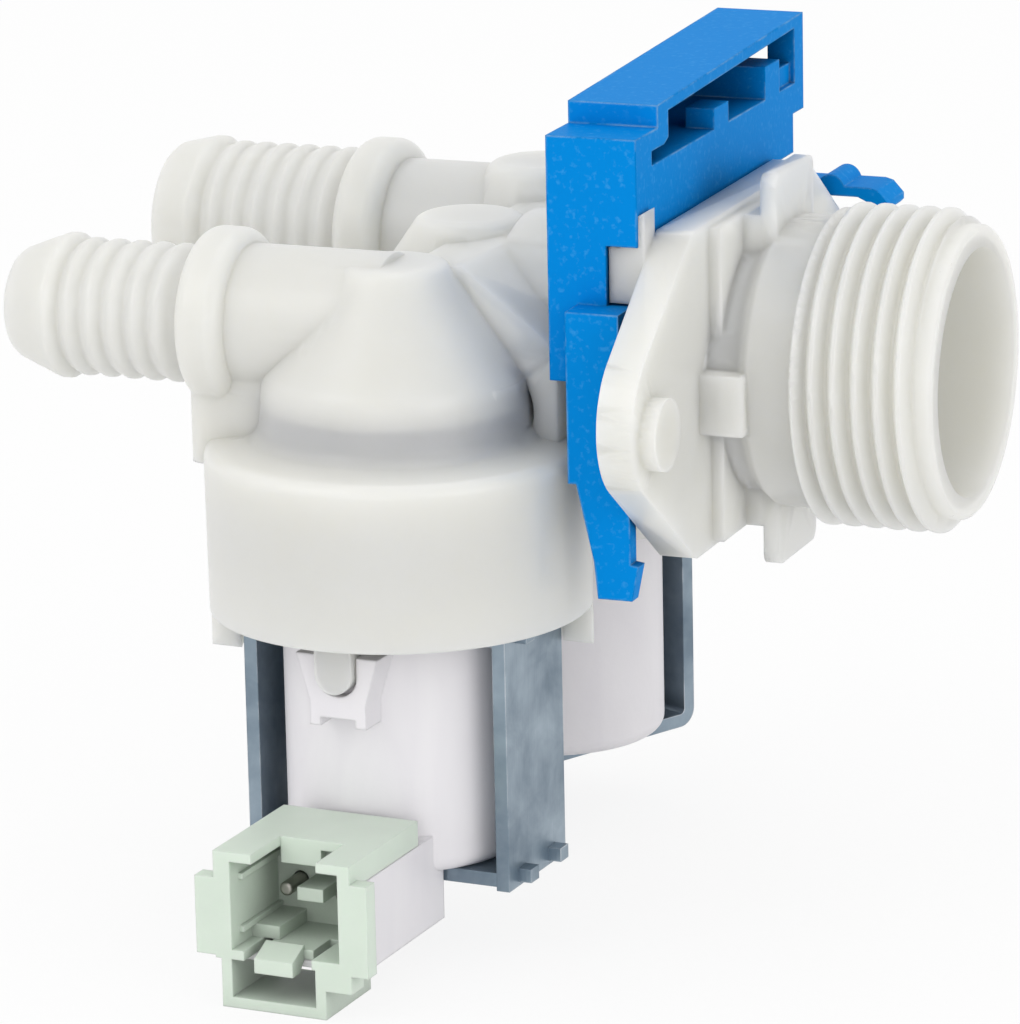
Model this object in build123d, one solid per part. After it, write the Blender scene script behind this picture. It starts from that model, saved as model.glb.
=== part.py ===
from build123d import *
import math
import os

# Twin solenoid water inlet valve, in millimetres.
# The origin is the centre of the threaded inlet's mouth. +X points out of the mouth, +Z is up
# and the two coils hang down. The front valve lies towards -Y, the rear valve towards +Y.

# Clearances
SEAT_GAP = 0.3              # between a moving piece and what it closes on
LOOSE_GAP = 0.1             # round a piece that is dropped into its pocket
PLUNGER_CLEARANCE = 0.08    # radial, plunger in its guide tube
CLIP_GAP = 0.15             # sliding clip to the moulded body

# Threaded inlet spout, turned about the X axis
THREAD_R = 13.15
THREAD_LENGTH = 9.4
THREAD_RUN_OUT = 0.6
SPOUT_R = 11.95             # plain stretches of the spout, at the depth of the thread
SPOUT_LEAD = 1.3            # plain stretch between mouth and thread
MOUTH_CHAMFER = 0.3
INLET_BORE_R = 10.13
INLET_BORE_DEPTH = 20.0
REGULATOR_POCKET_R = 8.4
REGULATOR_POCKET_DEPTH = 5.0
FEED_BORE_R = 4.5

# Mounting flange behind the spout
FLANGE_BACK_X = -22.0
FLANGE_THICKNESS = 3.0
FLANGE_HALF_HEIGHT = 13.4
FLANGE_TOP_HALF_WIDTH = 14.2
FLANGE_TIP_Y = 32.8         # where the sloping edges would meet
FLANGE_TIP_ROUND = 6.4
FLANGE_CORNER_ROUND = 1.4
DOWEL_R = 2.9
DOWEL_LENGTH = 2.8
DOWEL_Y = 22.6
DOWEL_Z = -0.7
NECK_R = 11.0
PAD_STEP = 1.0
PAD_WIDE_HALF = 10.3
PAD_NARROW_HALF = 4.8
FIN_X = -16.6
FIN_THICKNESS = 1.3
FIN_HALF_WIDTH = 4.7
FIN_REACH = 16.2
LUG_LENGTH = 3.6
LUG_TOP_Z = 1.5
LUG_BOTTOM_Z = -3.4
LUG_REACH_Y = 13.0

# Retaining ears for the clip, on the back of the flange
EAR_INNER_Y = 14.5
EAR_OUTER_Y = 16.9
EAR_BOTTOM_Z = 7.9
EAR_STEP_Z = 12.4
EAR_TOP_Z = 15.3
EAR_DEPTH = 3.0
EAR_UPPER_DEPTH = 1.9

# Valve axes and the moulded domes
VALVE_X = -43.7
VALVE_Y = 16.5
FRONT_DOME_TOP_Z = 10.0
MIDDLE_DOME_TOP_Z = 10.4
REAR_DOME_TOP_Z = 11.6
DOME_CROWN_R = 4.2
DOME_WAIST_R = 10.8
DOME_WAIST_Z = 0.8
DOME_FOOT_R = 11.3
DOME_FOOT_Z = -4.0
SKIRT_R = 15.7
SKIRT_TOP_Z = -4.8
SKIRT_BOTTOM_Z = -18.3
SKIRT_DRAFT = 0.1
SKIRT_WALL = 2.3
SKIRT_EAR_DROP = 3.7
SKIRT_EAR_WALL = 2.6

# Manifold between the domes
MANIFOLD_HALF_Y = 15.0
MANIFOLD_BACK_X = -50.5
MANIFOLD_FRONT_X = -30.4
MANIFOLD_RIDGE_X = -38.4
MANIFOLD_RIDGE_Z = 9.5
MANIFOLD_SHOULDER_Z = 3.2
MANIFOLD_BOTTOM_Z = -7.0
CROSS_CHANNEL_R = 4.2
CROSS_CHANNEL_X = -36.6
CROSS_CHANNEL_Z = -2.0

# Hose barbs, turned about axes parallel to X
BARB_Z = 4.5
COLLAR_BACK_X = -60.3
COLLAR_WIDTH = 4.2
COLLAR_ROUND = 1.4
WEB_DEPTH = 10.0
WEB_HALF_WIDTH = 4.6
WEB_BOTTOM_Z = -6.8
RING_PITCH = 2.0
RING_COUNT = 6
RING_DEPTH = 0.42
TIP_ROUND = 0.7

FRONT_BARB = dict(tip_x=-76.7, tip_r=4.38, lip_x=-72.3, lip_r=5.99, ring_x=-70.5, ring_r=5.68,
                  collar_r=7.35, neck_r=6.1, bore_r=3.1)
REAR_BARB = dict(tip_x=-77.7, tip_r=6.41, lip_x=-74.0, lip_r=7.34, ring_x=-71.9, ring_r=7.01,
                 collar_r=8.05, neck_r=6.4, bore_r=4.6)

# Valve works, turned about each valve's axis
OUTLET_SEAT_R = 4.0
OUTLET_SEAT_WALL = 1.9
OUTLET_SEAT_Z = -8.0
CHAMBER_R = 10.4
CHAMBER_ROOF_Z = -1.6
SHOULDER_Z = -9.0
BEAD_HEIGHT = 2.2
DIAPHRAGM_THICKNESS = 0.8
DIAPHRAGM_DROP = 0.9
DIAPHRAGM_HOLE_R = 2.6
INSERT_PLATE_R = 6.3
INSERT_PLATE_THICKNESS = 1.6
INSERT_HUB_R = 2.5
INSERT_CAP_R = 3.4
INSERT_CAP_THICKNESS = 1.3
PILOT_R = 0.5
PILOT_NOSE_R = 1.2
PILOT_NOSE_HEIGHT = 0.3
PLUNGER_R = 3.9
PLUNGER_LENGTH = 18.2
PLUNGER_TRAVEL = 2.5
DIAPHRAGM_LIFT = 1.5
PLUNGER_GROOVE_R = 0.6
PLUNGER_TIP_R = 2.9
SEAL_R = 1.9
SEAL_DEPTH = 2.0
GUIDE_FLANGE_THICKNESS = 3.2
GUIDE_WALL = 0.72
GUIDE_HUB_R = 7.6
GUIDE_END_WALL = 1.2
TONGUE_HALF_WIDTH = 1.6
TONGUE_INNER_R = 11.0
TONGUE_OUTER_R = 12.9
TONGUE_BOTTOM_Z = -22.7
SPRING_WIRE_R = 0.3
SPRING_R = 2.7
SPRING_TURNS = 4
SPRING_SPARE_LENGTH = 0.5

# Coil, in its own frame: the connector points to -Y and the loose yoke plate is on +X
COIL_R = 9.75
COIL_TOP_Z = -19.7
COIL_BOTTOM_Z = -38.7
COIL_EDGE_ROUND = 1.2
COIL_WALL = 1.1
COIL_END_WALL = 1.2
BOBBIN_WALL = 0.8
BOBBIN_FLANGE = 0.9
WINDING_MARGIN = 0.2
SLEEVE_WALL = 0.85
UPPER_SLEEVE_LENGTH = 6.8
LOWER_SLEEVE_LENGTH = 7.2
YOKE_SHEET = 1.15
YOKE_HALF_WIDTH = 11.72
YOKE_HALF_DEPTH = 5.5
YOKE_BEND_R = 1.6
STAKE_WIDTH = 1.5
STAKE_OFFSET = 2.9
STAKE_REACH = 1.1
FRONT_COIL_TURN = -3.2
REAR_COIL_TURN = 243.0

# Latch lug at the top of the coil, with a U-shaped slot for the guide tube's tongue
LUG_HALF_WIDTH = 3.6
LUG_FOOT_HALF_WIDTH = 2.5
LUG_TIE_HALF_WIDTH = 1.55
LATCH_LUG_TOP_Z = -19.7
LATCH_LUG_WAIST_Z = -23.6
LATCH_LUG_BOTTOM_Z = -25.6
LATCH_LUG_TIE_Z = -24.9
LATCH_LUG_PROUD = 2.4
LATCH_SLOT_R = 1.75
LATCH_SLOT_FLOOR_Z = -23.1

# Connector: a coloured liner in the moulded arm of the coil
ARM_HALF_WIDTH = 6.0
ARM_TOP_Z = -35.4
ARM_BOTTOM_Z = -42.9
ARM_FRONT_Y = -20.8
ARM_FLOOR_Y = -13.4
ARM_WALL = 0.6
HOUSING_TOP_Z = -33.3
HOUSING_BOTTOM_Z = -42.4
HOUSING_FRONT_Y = -23.0
HOUSING_BACK_Y = -10.4
HOUSING_WALL = 0.8
HOUSING_FLOOR = 1.1
RIM_THICKNESS = 1.5
LEFT_RIM_REACH = 1.7
RIGHT_RIM_REACH = 1.5
RIM_MARGIN = 1.5
CHANNEL_BOTTOM_Z = -46.3
CHANNEL_LEFT_X = -5.5
CHANNEL_RIGHT_X = 3.7
CHANNEL_BACK_Y = -15.0
CHANNEL_WALL = 0.9
NOTCH_LEFT_X = -2.6
NOTCH_RIGHT_X = 3.1
NOTCH_DEPTH = 5.2
TERMINAL_R = 0.6
TERMINAL_PITCH = 5.0
TERMINAL_Z = -37.9
TERMINAL_TIP_Y = -17.4
TERMINAL_ROOT_Y = -10.6
KEY_HALF_WIDTH = 1.15
KEY_LENGTH = 3.4
KEY_HEIGHT = 1.6
LATCH_LEFT_X = -2.6
LATCH_RIGHT_X = 1.6
LATCH_RAMP_LENGTH = 2.2
LATCH_RAMP_HEIGHT = 1.1

# Strainer and flow regulator in the inlet
STRAINER_RIM_X = -10.2
STRAINER_RIM_WIDTH = 1.4
STRAINER_CUP_R = 7.6
STRAINER_CUP_WALL = 0.7
STRAINER_BOTTOM_X = -19.4
STRAINER_WINDOWS = 8
STRAINER_WINDOW_WIDTH = 3.4
STRAINER_TAB_REACH = 4.0
REGULATOR_THICKNESS = 3.0
REGULATOR_BORE_R = 2.4

# Sliding clip that holds the valve to the machine's panel
CLIP_SIDE_Y = 17.2
CLIP_INNER_Y = 13.6
CLIP_BACK_X = -30.0
CLIP_FACE_X = -22.9
CLIP_LEG_BACK_STEP_X = -25.3
CLIP_LEG_STEP_Z = 15.6
CLIP_LEG_BOTTOM_Z = 1.3
CLIP_SHOULDER_Z = 21.2
CLIP_BAR_TOP_Z = 24.1
CLIP_BAR_BACK_X = -29.0
CLIP_BAR_FACE_X = -21.8
CLIP_BAR_FRONT_Y = -15.6
CLIP_BAR_REAR_Y = 21.4
CLIP_WALL = 1.5
CLIP_WINDOW_LOW_Z = 18.6
CLIP_WINDOW_STEP_Z = 19.7
CLIP_WINDOW_HIGH_Z = 22.7
CLIP_WINDOW_FRONT_Y = -14.4
CLIP_WINDOW_STEP_Y = -10.2
CLIP_WINDOW_REAR_Y = 19.8
CLIP_PLATE_BOTTOM_Z = 12.6
CLIP_BLOCK_Y = 20.1
CLIP_BLOCK_BACK_X = -27.6
CLIP_BLOCK_FACE_X = -23.1
CLIP_BLOCK_TOP_Z = 7.7
CLIP_BLOCK_BOTTOM_Z = -6.3
CLIP_TONGUE_THICKNESS = 1.4
CLIP_TONGUE_BOTTOM_Z = -15.6
CLIP_TOOTH_FRONT_Y = -6.6
CLIP_TOOTH_REAR_Y = -0.9
CLIP_EDGE_ROUND = 0.5
LEVER_REAR_Y = 24.0
LEVER_THICKNESS = 2.6
LEVER_TIP_X = -12.9
LEVER_TOP_Z = 10.7
LEVER_HEIGHT = 2.2
LEVER_KNOB_X = -18.2
LEVER_KNOB_R = 1.7

# Levels that follow from the sizes above
GUIDE_FLANGE_TOP_Z = SHOULDER_Z - BEAD_HEIGHT
GUIDE_FLANGE_BOTTOM_Z = GUIDE_FLANGE_TOP_Z - GUIDE_FLANGE_THICKNESS
DIAPHRAGM_TOP_Z = OUTLET_SEAT_Z - SEAT_GAP
INSERT_TOP_OF_PLATE_Z = DIAPHRAGM_TOP_Z - DIAPHRAGM_THICKNESS
INSERT_BOTTOM_Z = INSERT_TOP_OF_PLATE_Z - INSERT_PLATE_THICKNESS
GUIDE_RECESS_Z = INSERT_BOTTOM_Z - PILOT_NOSE_HEIGHT - DIAPHRAGM_LIFT - SEAT_GAP
PLUNGER_TOP_Z = INSERT_BOTTOM_Z - PILOT_NOSE_HEIGHT - SEAT_GAP
PLUNGER_BOTTOM_Z = PLUNGER_TOP_Z - PLUNGER_LENGTH
GUIDE_BORE_R = PLUNGER_R + PLUNGER_CLEARANCE
GUIDE_TUBE_R = GUIDE_BORE_R + GUIDE_WALL
SPRING_SOLID_LENGTH = 2 * SPRING_WIRE_R * (SPRING_TURNS + 1)
GUIDE_FLOOR_Z = PLUNGER_BOTTOM_Z - PLUNGER_TRAVEL - SPRING_SOLID_LENGTH - SPRING_SPARE_LENGTH
YOKE_TOP_Z = COIL_TOP_Z + YOKE_SHEET
YOKE_BOTTOM_Z = COIL_BOTTOM_Z - YOKE_SHEET
SLEEVE_INNER_R = GUIDE_TUBE_R + LOOSE_GAP
SLEEVE_OUTER_R = SLEEVE_INNER_R + SLEEVE_WALL
COIL_BORE_R = SLEEVE_OUTER_R + LOOSE_GAP
COIL_POCKET_R = COIL_R - COIL_WALL
SPOOL_TOP_Z = COIL_TOP_Z - COIL_END_WALL
SPOOL_BOTTOM_Z = COIL_BOTTOM_Z + COIL_END_WALL
FLANGE_FACE_X = FLANGE_BACK_X + FLANGE_THICKNESS
THREAD_START_X = -SPOUT_LEAD - THREAD_RUN_OUT
THREAD_END_X = THREAD_START_X - THREAD_LENGTH


def block(x0, x1, y0, y1, z0, z1):
    """Box between two opposite corners."""
    middle = Pos((x0 + x1) / 2, (y0 + y1) / 2, (z0 + z1) / 2)
    return middle * Box(x1 - x0, y1 - y0, z1 - z0)


def turned_z(points):
    """Solid turned about the Z axis from (radius, height) points."""
    profile = make_face(Polyline(*points, close=True))
    return revolve(Plane.XZ * profile, Axis.Z)


def turned_x(points):
    """Solid turned about the X axis from (position, radius) points."""
    return revolve(make_face(Polyline(*points, close=True)), Axis.X)


def ring_z(outer_r, inner_r, z0, z1):
    """Ring about the Z axis between two heights."""
    return turned_z([(inner_r, z0), (outer_r, z0), (outer_r, z1), (inner_r, z1)])


def disc_z(radius, z0, z1):
    """Disc about the Z axis between two heights."""
    return Pos(0, 0, (z0 + z1) / 2) * Cylinder(radius, abs(z1 - z0))


def rod_x(radius, x0, x1):
    """Round bar about the X axis."""
    return Pos((x0 + x1) / 2, 0, 0) * Rot(0, 90, 0) * Cylinder(radius, abs(x1 - x0))


def rod_y(radius, y0, y1):
    """Round bar about the Y axis."""
    return Pos(0, (y0 + y1) / 2, 0) * Rot(90, 0, 0) * Cylinder(radius, abs(y1 - y0))


def plate_x(outline, x0, x1):
    """Outline of (y, z) points carried along X."""
    face = make_face(Polyline(*outline, close=True))
    return Pos(x0, 0, 0) * extrude(Plane.YZ * face, amount=x1 - x0)


def plate_y(outline, y0, y1):
    """Outline of (x, z) points carried along Y."""
    face = make_face(Polyline(*outline, close=True))
    return Pos(0, y1, 0) * extrude(Plane.XZ * face, amount=y1 - y0)


def inlet_spout():
    """Outside of the threaded spout, its neck and the duct that runs on to the manifold."""
    fin_face_x = FIN_X + FIN_THICKNESS
    return turned_x([
        (0, 0), (0, SPOUT_R - MOUTH_CHAMFER), (-MOUTH_CHAMFER, SPOUT_R), (-SPOUT_LEAD, SPOUT_R),
        (THREAD_START_X, THREAD_R), (THREAD_END_X, THREAD_R),
        (THREAD_END_X - THREAD_RUN_OUT, SPOUT_R), (fin_face_x, SPOUT_R), (FIN_X, NECK_R),
        (MANIFOLD_RIDGE_X, NECK_R), (MANIFOLD_RIDGE_X, 0)])


def mounting_flange():
    """Six-sided flange with rounded side tips, dowels, stepped pads, fins and side lugs."""
    outline = make_face(Polyline(
        (FLANGE_TOP_HALF_WIDTH, FLANGE_HALF_HEIGHT), (-FLANGE_TOP_HALF_WIDTH, FLANGE_HALF_HEIGHT),
        (-FLANGE_TIP_Y, 0), (-FLANGE_TOP_HALF_WIDTH, -FLANGE_HALF_HEIGHT),
        (FLANGE_TOP_HALF_WIDTH, -FLANGE_HALF_HEIGHT), (FLANGE_TIP_Y, 0), close=True))
    corners = outline.vertices().sort_by(Axis.X)
    outline = fillet(corners[:1] + corners[-1:], FLANGE_TIP_ROUND)
    square = [v for v in outline.vertices() if abs(abs(v.Y) - FLANGE_HALF_HEIGHT) < 0.01]
    outline = fillet(square, FLANGE_CORNER_ROUND)
    flange = Pos(FLANGE_BACK_X, 0, 0) * extrude(Plane.YZ * outline, amount=FLANGE_THICKNESS)
    pad_z = FLANGE_HALF_HEIGHT - PAD_STEP / 2
    flange += block(FLANGE_FACE_X, FLANGE_FACE_X + PAD_STEP, -PAD_WIDE_HALF, PAD_WIDE_HALF, -pad_z, pad_z)
    flange += block(FLANGE_FACE_X, FIN_X, -PAD_NARROW_HALF, PAD_NARROW_HALF, -pad_z, pad_z)
    fin = block(FIN_X, FIN_X + FIN_THICKNESS, -FIN_HALF_WIDTH, FIN_HALF_WIDTH, -FIN_REACH, FIN_REACH)
    flange += fillet(fin.edges().filter_by(Axis.X), PAD_STEP)
    for side in (-1, 1):
        dowel = Pos(0, side * DOWEL_Y, DOWEL_Z) * rod_x(DOWEL_R, FLANGE_BACK_X,
                                                        FLANGE_FACE_X + DOWEL_LENGTH)
        flange += fillet(dowel.edges().filter_by(GeomType.CIRCLE).sort_by(Axis.X)[-1:], PAD_STEP / 2)
        inner, outer = sorted((0, side * LUG_REACH_Y))
        lug = block(FLANGE_FACE_X, FLANGE_FACE_X + LUG_LENGTH, inner, outer, LUG_BOTTOM_Z, LUG_TOP_Z)
        flange += lug
    return flange


def clip_ear(side):
    """Stepped ear on the back of the flange that keeps the clip from sliding out."""
    outline = [
        (FLANGE_BACK_X, EAR_BOTTOM_Z), (FLANGE_BACK_X - EAR_DEPTH, EAR_BOTTOM_Z),
        (FLANGE_BACK_X - EAR_DEPTH, EAR_STEP_Z), (FLANGE_BACK_X - EAR_UPPER_DEPTH, EAR_STEP_Z),
        (FLANGE_BACK_X - EAR_UPPER_DEPTH, EAR_TOP_Z - 1.0), (FLANGE_BACK_X, EAR_TOP_Z)]
    y0, y1 = sorted((side * EAR_INNER_Y, side * EAR_OUTER_Y))
    return plate_y(outline, y0, y1)


def dome(top_z):
    """Bell-shaped dome over a valve, down to the bottom of its round skirt."""
    side = FilletPolyline(
        (0, top_z), (DOME_CROWN_R, top_z), (DOME_WAIST_R, DOME_WAIST_Z), (DOME_FOOT_R, DOME_FOOT_Z),
        (SKIRT_R, SKIRT_TOP_Z), (SKIRT_R - SKIRT_DRAFT, SKIRT_BOTTOM_Z),
        radius=[1.3, 3.0, 1.5, 1.1])
    base = Polyline((SKIRT_R - SKIRT_DRAFT, SKIRT_BOTTOM_Z), (0, SKIRT_BOTTOM_Z), (0, top_z))
    return revolve(Plane.XZ * make_face(side + base), Axis.Z)


def skirt_ears(turn):
    """Ears below the skirt that guide the yoke: one outside its fixed leg, one behind the loose one."""
    z0 = SKIRT_BOTTOM_Z - SKIRT_EAR_DROP
    wall = ring_z(SKIRT_R - SKIRT_DRAFT, SKIRT_R - SKIRT_EAR_WALL, z0, SKIRT_BOTTOM_Z)
    beside = YOKE_HALF_WIDTH + LOOSE_GAP
    left = wall & block(-SKIRT_R, -beside, -YOKE_HALF_DEPTH, YOKE_HALF_DEPTH, z0, SKIRT_BOTTOM_Z)
    behind = YOKE_HALF_DEPTH + LOOSE_GAP
    right = wall & block(beside - 2 * YOKE_SHEET, SKIRT_R, behind, behind + YOKE_HALF_DEPTH, z0,
                         SKIRT_BOTTOM_Z)
    return Rot(0, 0, turn) * (left + right)


def barb_profile(barb):
    """(position, radius) points of a hose barb from its collar to its tip, outside only."""
    valley = barb["ring_r"] - RING_DEPTH
    points = [(COLLAR_BACK_X + COLLAR_WIDTH, 0), (COLLAR_BACK_X + COLLAR_WIDTH, valley)]
    for k in reversed(range(RING_COUNT)):
        crest = barb["ring_x"] + k * RING_PITCH
        if crest + RING_PITCH / 2 > COLLAR_BACK_X:
            continue
        points += [(crest + RING_PITCH / 2, valley), (crest + 0.35, barb["ring_r"]),
                   (crest, barb["ring_r"])]
    trough = (barb["ring_x"] + barb["lip_x"]) / 2
    points += [
        (trough, valley), (barb["lip_x"] + 0.3, barb["lip_r"]), (barb["lip_x"] - 0.2, barb["lip_r"]),
        (barb["tip_x"] + TIP_ROUND, barb["tip_r"] + 0.25), (barb["tip_x"] + 0.2, barb["tip_r"] - 0.15),
        (barb["tip_x"], barb["tip_r"] - 0.5), (barb["tip_x"], 0)]
    return points


def outlet(barb):
    """Barb, collar and web of one outlet, and the neck that joins them to the dome at the origin."""
    collar = rod_x(barb["collar_r"], COLLAR_BACK_X, COLLAR_BACK_X + COLLAR_WIDTH)
    collar = fillet(collar.edges().filter_by(GeomType.CIRCLE), COLLAR_ROUND)
    neck = rod_x(barb["neck_r"], COLLAR_BACK_X + COLLAR_WIDTH / 2, VALVE_X)
    web = block(COLLAR_BACK_X, COLLAR_BACK_X + WEB_DEPTH, -WEB_HALF_WIDTH, WEB_HALF_WIDTH,
                WEB_BOTTOM_Z - BARB_Z, 0)
    web = fillet(web.edges().filter_by(Axis.Z), COLLAR_ROUND)
    return Pos(0, 0, BARB_Z) * (turned_x(barb_profile(barb)) + collar + neck + web)


def outlet_passage(barb):
    """Water way from the seat under the dome up and out through the barb."""
    riser = Pos(VALVE_X, 0, 0) * disc_z(OUTLET_SEAT_R, SHOULDER_Z, BARB_Z + barb["bore_r"] / 2)
    duct = Pos(0, 0, BARB_Z) * rod_x(barb["bore_r"], barb["tip_x"] - 1,
                                     VALVE_X + OUTLET_SEAT_R - SEAT_GAP)
    return riser + duct


def valve_cavity():
    """Round chamber above the diaphragm and the pocket that takes the works from below."""
    seat_outer = OUTLET_SEAT_R + OUTLET_SEAT_WALL
    chamber = ring_z(CHAMBER_R, seat_outer, OUTLET_SEAT_Z, CHAMBER_ROOF_Z)
    chamber += disc_z(CHAMBER_R, SHOULDER_Z - 1, OUTLET_SEAT_Z)
    chamber += disc_z(SKIRT_R - SKIRT_WALL, SKIRT_BOTTOM_Z - 1, SHOULDER_Z)
    return chamber


def manifold():
    """Block between the domes, with a sloping ridge on the inlet side, and the web below it."""
    outline = [
        (MANIFOLD_BACK_X, MANIFOLD_BOTTOM_Z), (MANIFOLD_FRONT_X, MANIFOLD_BOTTOM_Z),
        (MANIFOLD_FRONT_X, MANIFOLD_SHOULDER_Z), (MANIFOLD_RIDGE_X, MANIFOLD_RIDGE_Z),
        (VALVE_X, MANIFOLD_RIDGE_Z - 0.5), (MANIFOLD_BACK_X, MANIFOLD_SHOULDER_Z)]
    return plate_y(outline, -MANIFOLD_HALF_Y, MANIFOLD_HALF_Y)


def middle_dome():
    """Plain dome over the inlet's cross channel."""
    side = FilletPolyline(
        (0, MIDDLE_DOME_TOP_Z), (DOME_CROWN_R, MIDDLE_DOME_TOP_Z), (DOME_WAIST_R, DOME_WAIST_Z),
        (DOME_WAIST_R, MANIFOLD_BOTTOM_Z), radius=[1.3, 3.0])
    base = Polyline((DOME_WAIST_R, MANIFOLD_BOTTOM_Z), (0, MANIFOLD_BOTTOM_Z), (0, MIDDLE_DOME_TOP_Z))
    return Pos(VALVE_X, 0, 0) * revolve(Plane.XZ * make_face(side + base), Axis.Z)


def inlet_passage():
    """Water way from the mouth to the two valve chambers."""
    pocket_x = -INLET_BORE_DEPTH - REGULATOR_POCKET_DEPTH
    way = rod_x(INLET_BORE_R, 1, -INLET_BORE_DEPTH)
    way += rod_x(REGULATOR_POCKET_R, -INLET_BORE_DEPTH, pocket_x)
    way += rod_x(FEED_BORE_R, pocket_x, CROSS_CHANNEL_X)
    cross = Pos(CROSS_CHANNEL_X, 0, CROSS_CHANNEL_Z) * rod_y(CROSS_CHANNEL_R, -VALVE_Y, VALVE_Y)
    return way + cross


def valve_body():
    """One moulding: spout, flange, manifold, domes with skirts and the two barbed outlets."""
    body = inlet_spout() + mounting_flange() + manifold() + middle_dome()
    for side in (-1, 1):
        body += clip_ear(side)
    valves = ((-1, FRONT_BARB, FRONT_DOME_TOP_Z, FRONT_COIL_TURN),
              (1, REAR_BARB, REAR_DOME_TOP_Z, REAR_COIL_TURN))
    for side, barb, top_z, turn in valves:
        body += Pos(VALVE_X, side * VALVE_Y, 0) * dome(top_z)
        body += Pos(0, side * VALVE_Y, 0) * outlet(barb)
    for side, barb, top_z, turn in valves:
        body -= Pos(VALVE_X, side * VALVE_Y, 0) * valve_cavity()
        body -= Pos(0, side * VALVE_Y, 0) * outlet_passage(barb)
        body += Pos(VALVE_X, side * VALVE_Y, 0) * skirt_ears(turn)
    body -= inlet_passage()
    for side in (-1, 1):
        seat = Pos(VALVE_X, side * VALVE_Y, 0) * ring_z(
            OUTLET_SEAT_R + OUTLET_SEAT_WALL, OUTLET_SEAT_R, OUTLET_SEAT_Z, CHAMBER_ROOF_Z)
        body += seat
    return body


def strainer():
    """Slotted plastic cup with a rim that sits in the inlet bore and a tab to pull it out by."""
    rim_back = STRAINER_RIM_X - STRAINER_RIM_WIDTH
    bore_r = INLET_BORE_R - LOOSE_GAP
    inner_r = STRAINER_CUP_R - STRAINER_CUP_WALL
    cup = turned_x([
        (STRAINER_RIM_X, inner_r), (STRAINER_RIM_X, bore_r), (rim_back, bore_r),
        (rim_back, STRAINER_CUP_R),
        (STRAINER_BOTTOM_X, STRAINER_CUP_R), (STRAINER_BOTTOM_X, 0),
        (STRAINER_BOTTOM_X + STRAINER_CUP_WALL, 0), (STRAINER_BOTTOM_X + STRAINER_CUP_WALL, inner_r)])
    x0 = STRAINER_BOTTOM_X + STRAINER_RIM_WIDTH
    x1 = rim_back - STRAINER_RIM_WIDTH
    window = block(x0, x1, -STRAINER_WINDOW_WIDTH / 2, STRAINER_WINDOW_WIDTH / 2, inner_r - 1,
                   STRAINER_CUP_R + 1)
    for k in range(STRAINER_WINDOWS):
        cup -= Rot(k * 360 / STRAINER_WINDOWS, 0, 0) * window
    tab_r = inner_r / 2
    tab = block(STRAINER_BOTTOM_X, STRAINER_RIM_X + STRAINER_TAB_REACH, -tab_r / 2, tab_r / 2,
                -STRAINER_CUP_WALL / 2, STRAINER_CUP_WALL / 2)
    return cup + tab


def flow_regulator():
    """Rubber washer whose hole narrows under pressure."""
    x0 = -INLET_BORE_DEPTH - REGULATOR_POCKET_DEPTH
    outer_r = REGULATOR_POCKET_R - LOOSE_GAP
    return turned_x([
        (x0, REGULATOR_BORE_R + 1), (x0, outer_r), (x0 + REGULATOR_THICKNESS, outer_r),
        (x0 + REGULATOR_THICKNESS, REGULATOR_BORE_R + 1.4),
        (x0 + 0.6 * REGULATOR_THICKNESS, REGULATOR_BORE_R),
        (x0 + 0.3 * REGULATOR_THICKNESS, REGULATOR_BORE_R)])


def diaphragm():
    """Rubber diaphragm: a thick clamped bead, a sloping web and a centre hole for its insert."""
    rim_r = SKIRT_R - SKIRT_WALL - LOOSE_GAP
    bead_r = CHAMBER_R + 0.2
    low = DIAPHRAGM_TOP_Z - DIAPHRAGM_DROP
    inner_r = INSERT_PLATE_R + 0.2
    return turned_z([
        (DIAPHRAGM_HOLE_R, DIAPHRAGM_TOP_Z), (inner_r, DIAPHRAGM_TOP_Z), (bead_r - 0.8, low),
        (bead_r, low),
        (bead_r, SHOULDER_Z), (rim_r, SHOULDER_Z), (rim_r, GUIDE_FLANGE_TOP_Z),
        (bead_r, GUIDE_FLANGE_TOP_Z),
        (bead_r, low - DIAPHRAGM_THICKNESS), (bead_r - 1.0, low - DIAPHRAGM_THICKNESS),
        (inner_r - 0.1, INSERT_TOP_OF_PLATE_Z), (DIAPHRAGM_HOLE_R, INSERT_TOP_OF_PLATE_Z)])


def diaphragm_insert():
    """Stiff centre of the diaphragm, with the pilot hole that the plunger closes."""
    nose_z = INSERT_BOTTOM_Z - PILOT_NOSE_HEIGHT
    cap_z = DIAPHRAGM_TOP_Z + INSERT_CAP_THICKNESS
    return turned_z([
        (PILOT_R, cap_z), (INSERT_CAP_R - 0.5, cap_z), (INSERT_CAP_R, cap_z - 0.5),
        (INSERT_CAP_R, DIAPHRAGM_TOP_Z), (INSERT_HUB_R, DIAPHRAGM_TOP_Z),
        (INSERT_HUB_R, INSERT_TOP_OF_PLATE_Z),
        (INSERT_PLATE_R, INSERT_TOP_OF_PLATE_Z), (INSERT_PLATE_R, INSERT_BOTTOM_Z),
        (PILOT_NOSE_R, INSERT_BOTTOM_Z), (PILOT_NOSE_R, nose_z), (PILOT_R, nose_z)])


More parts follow.
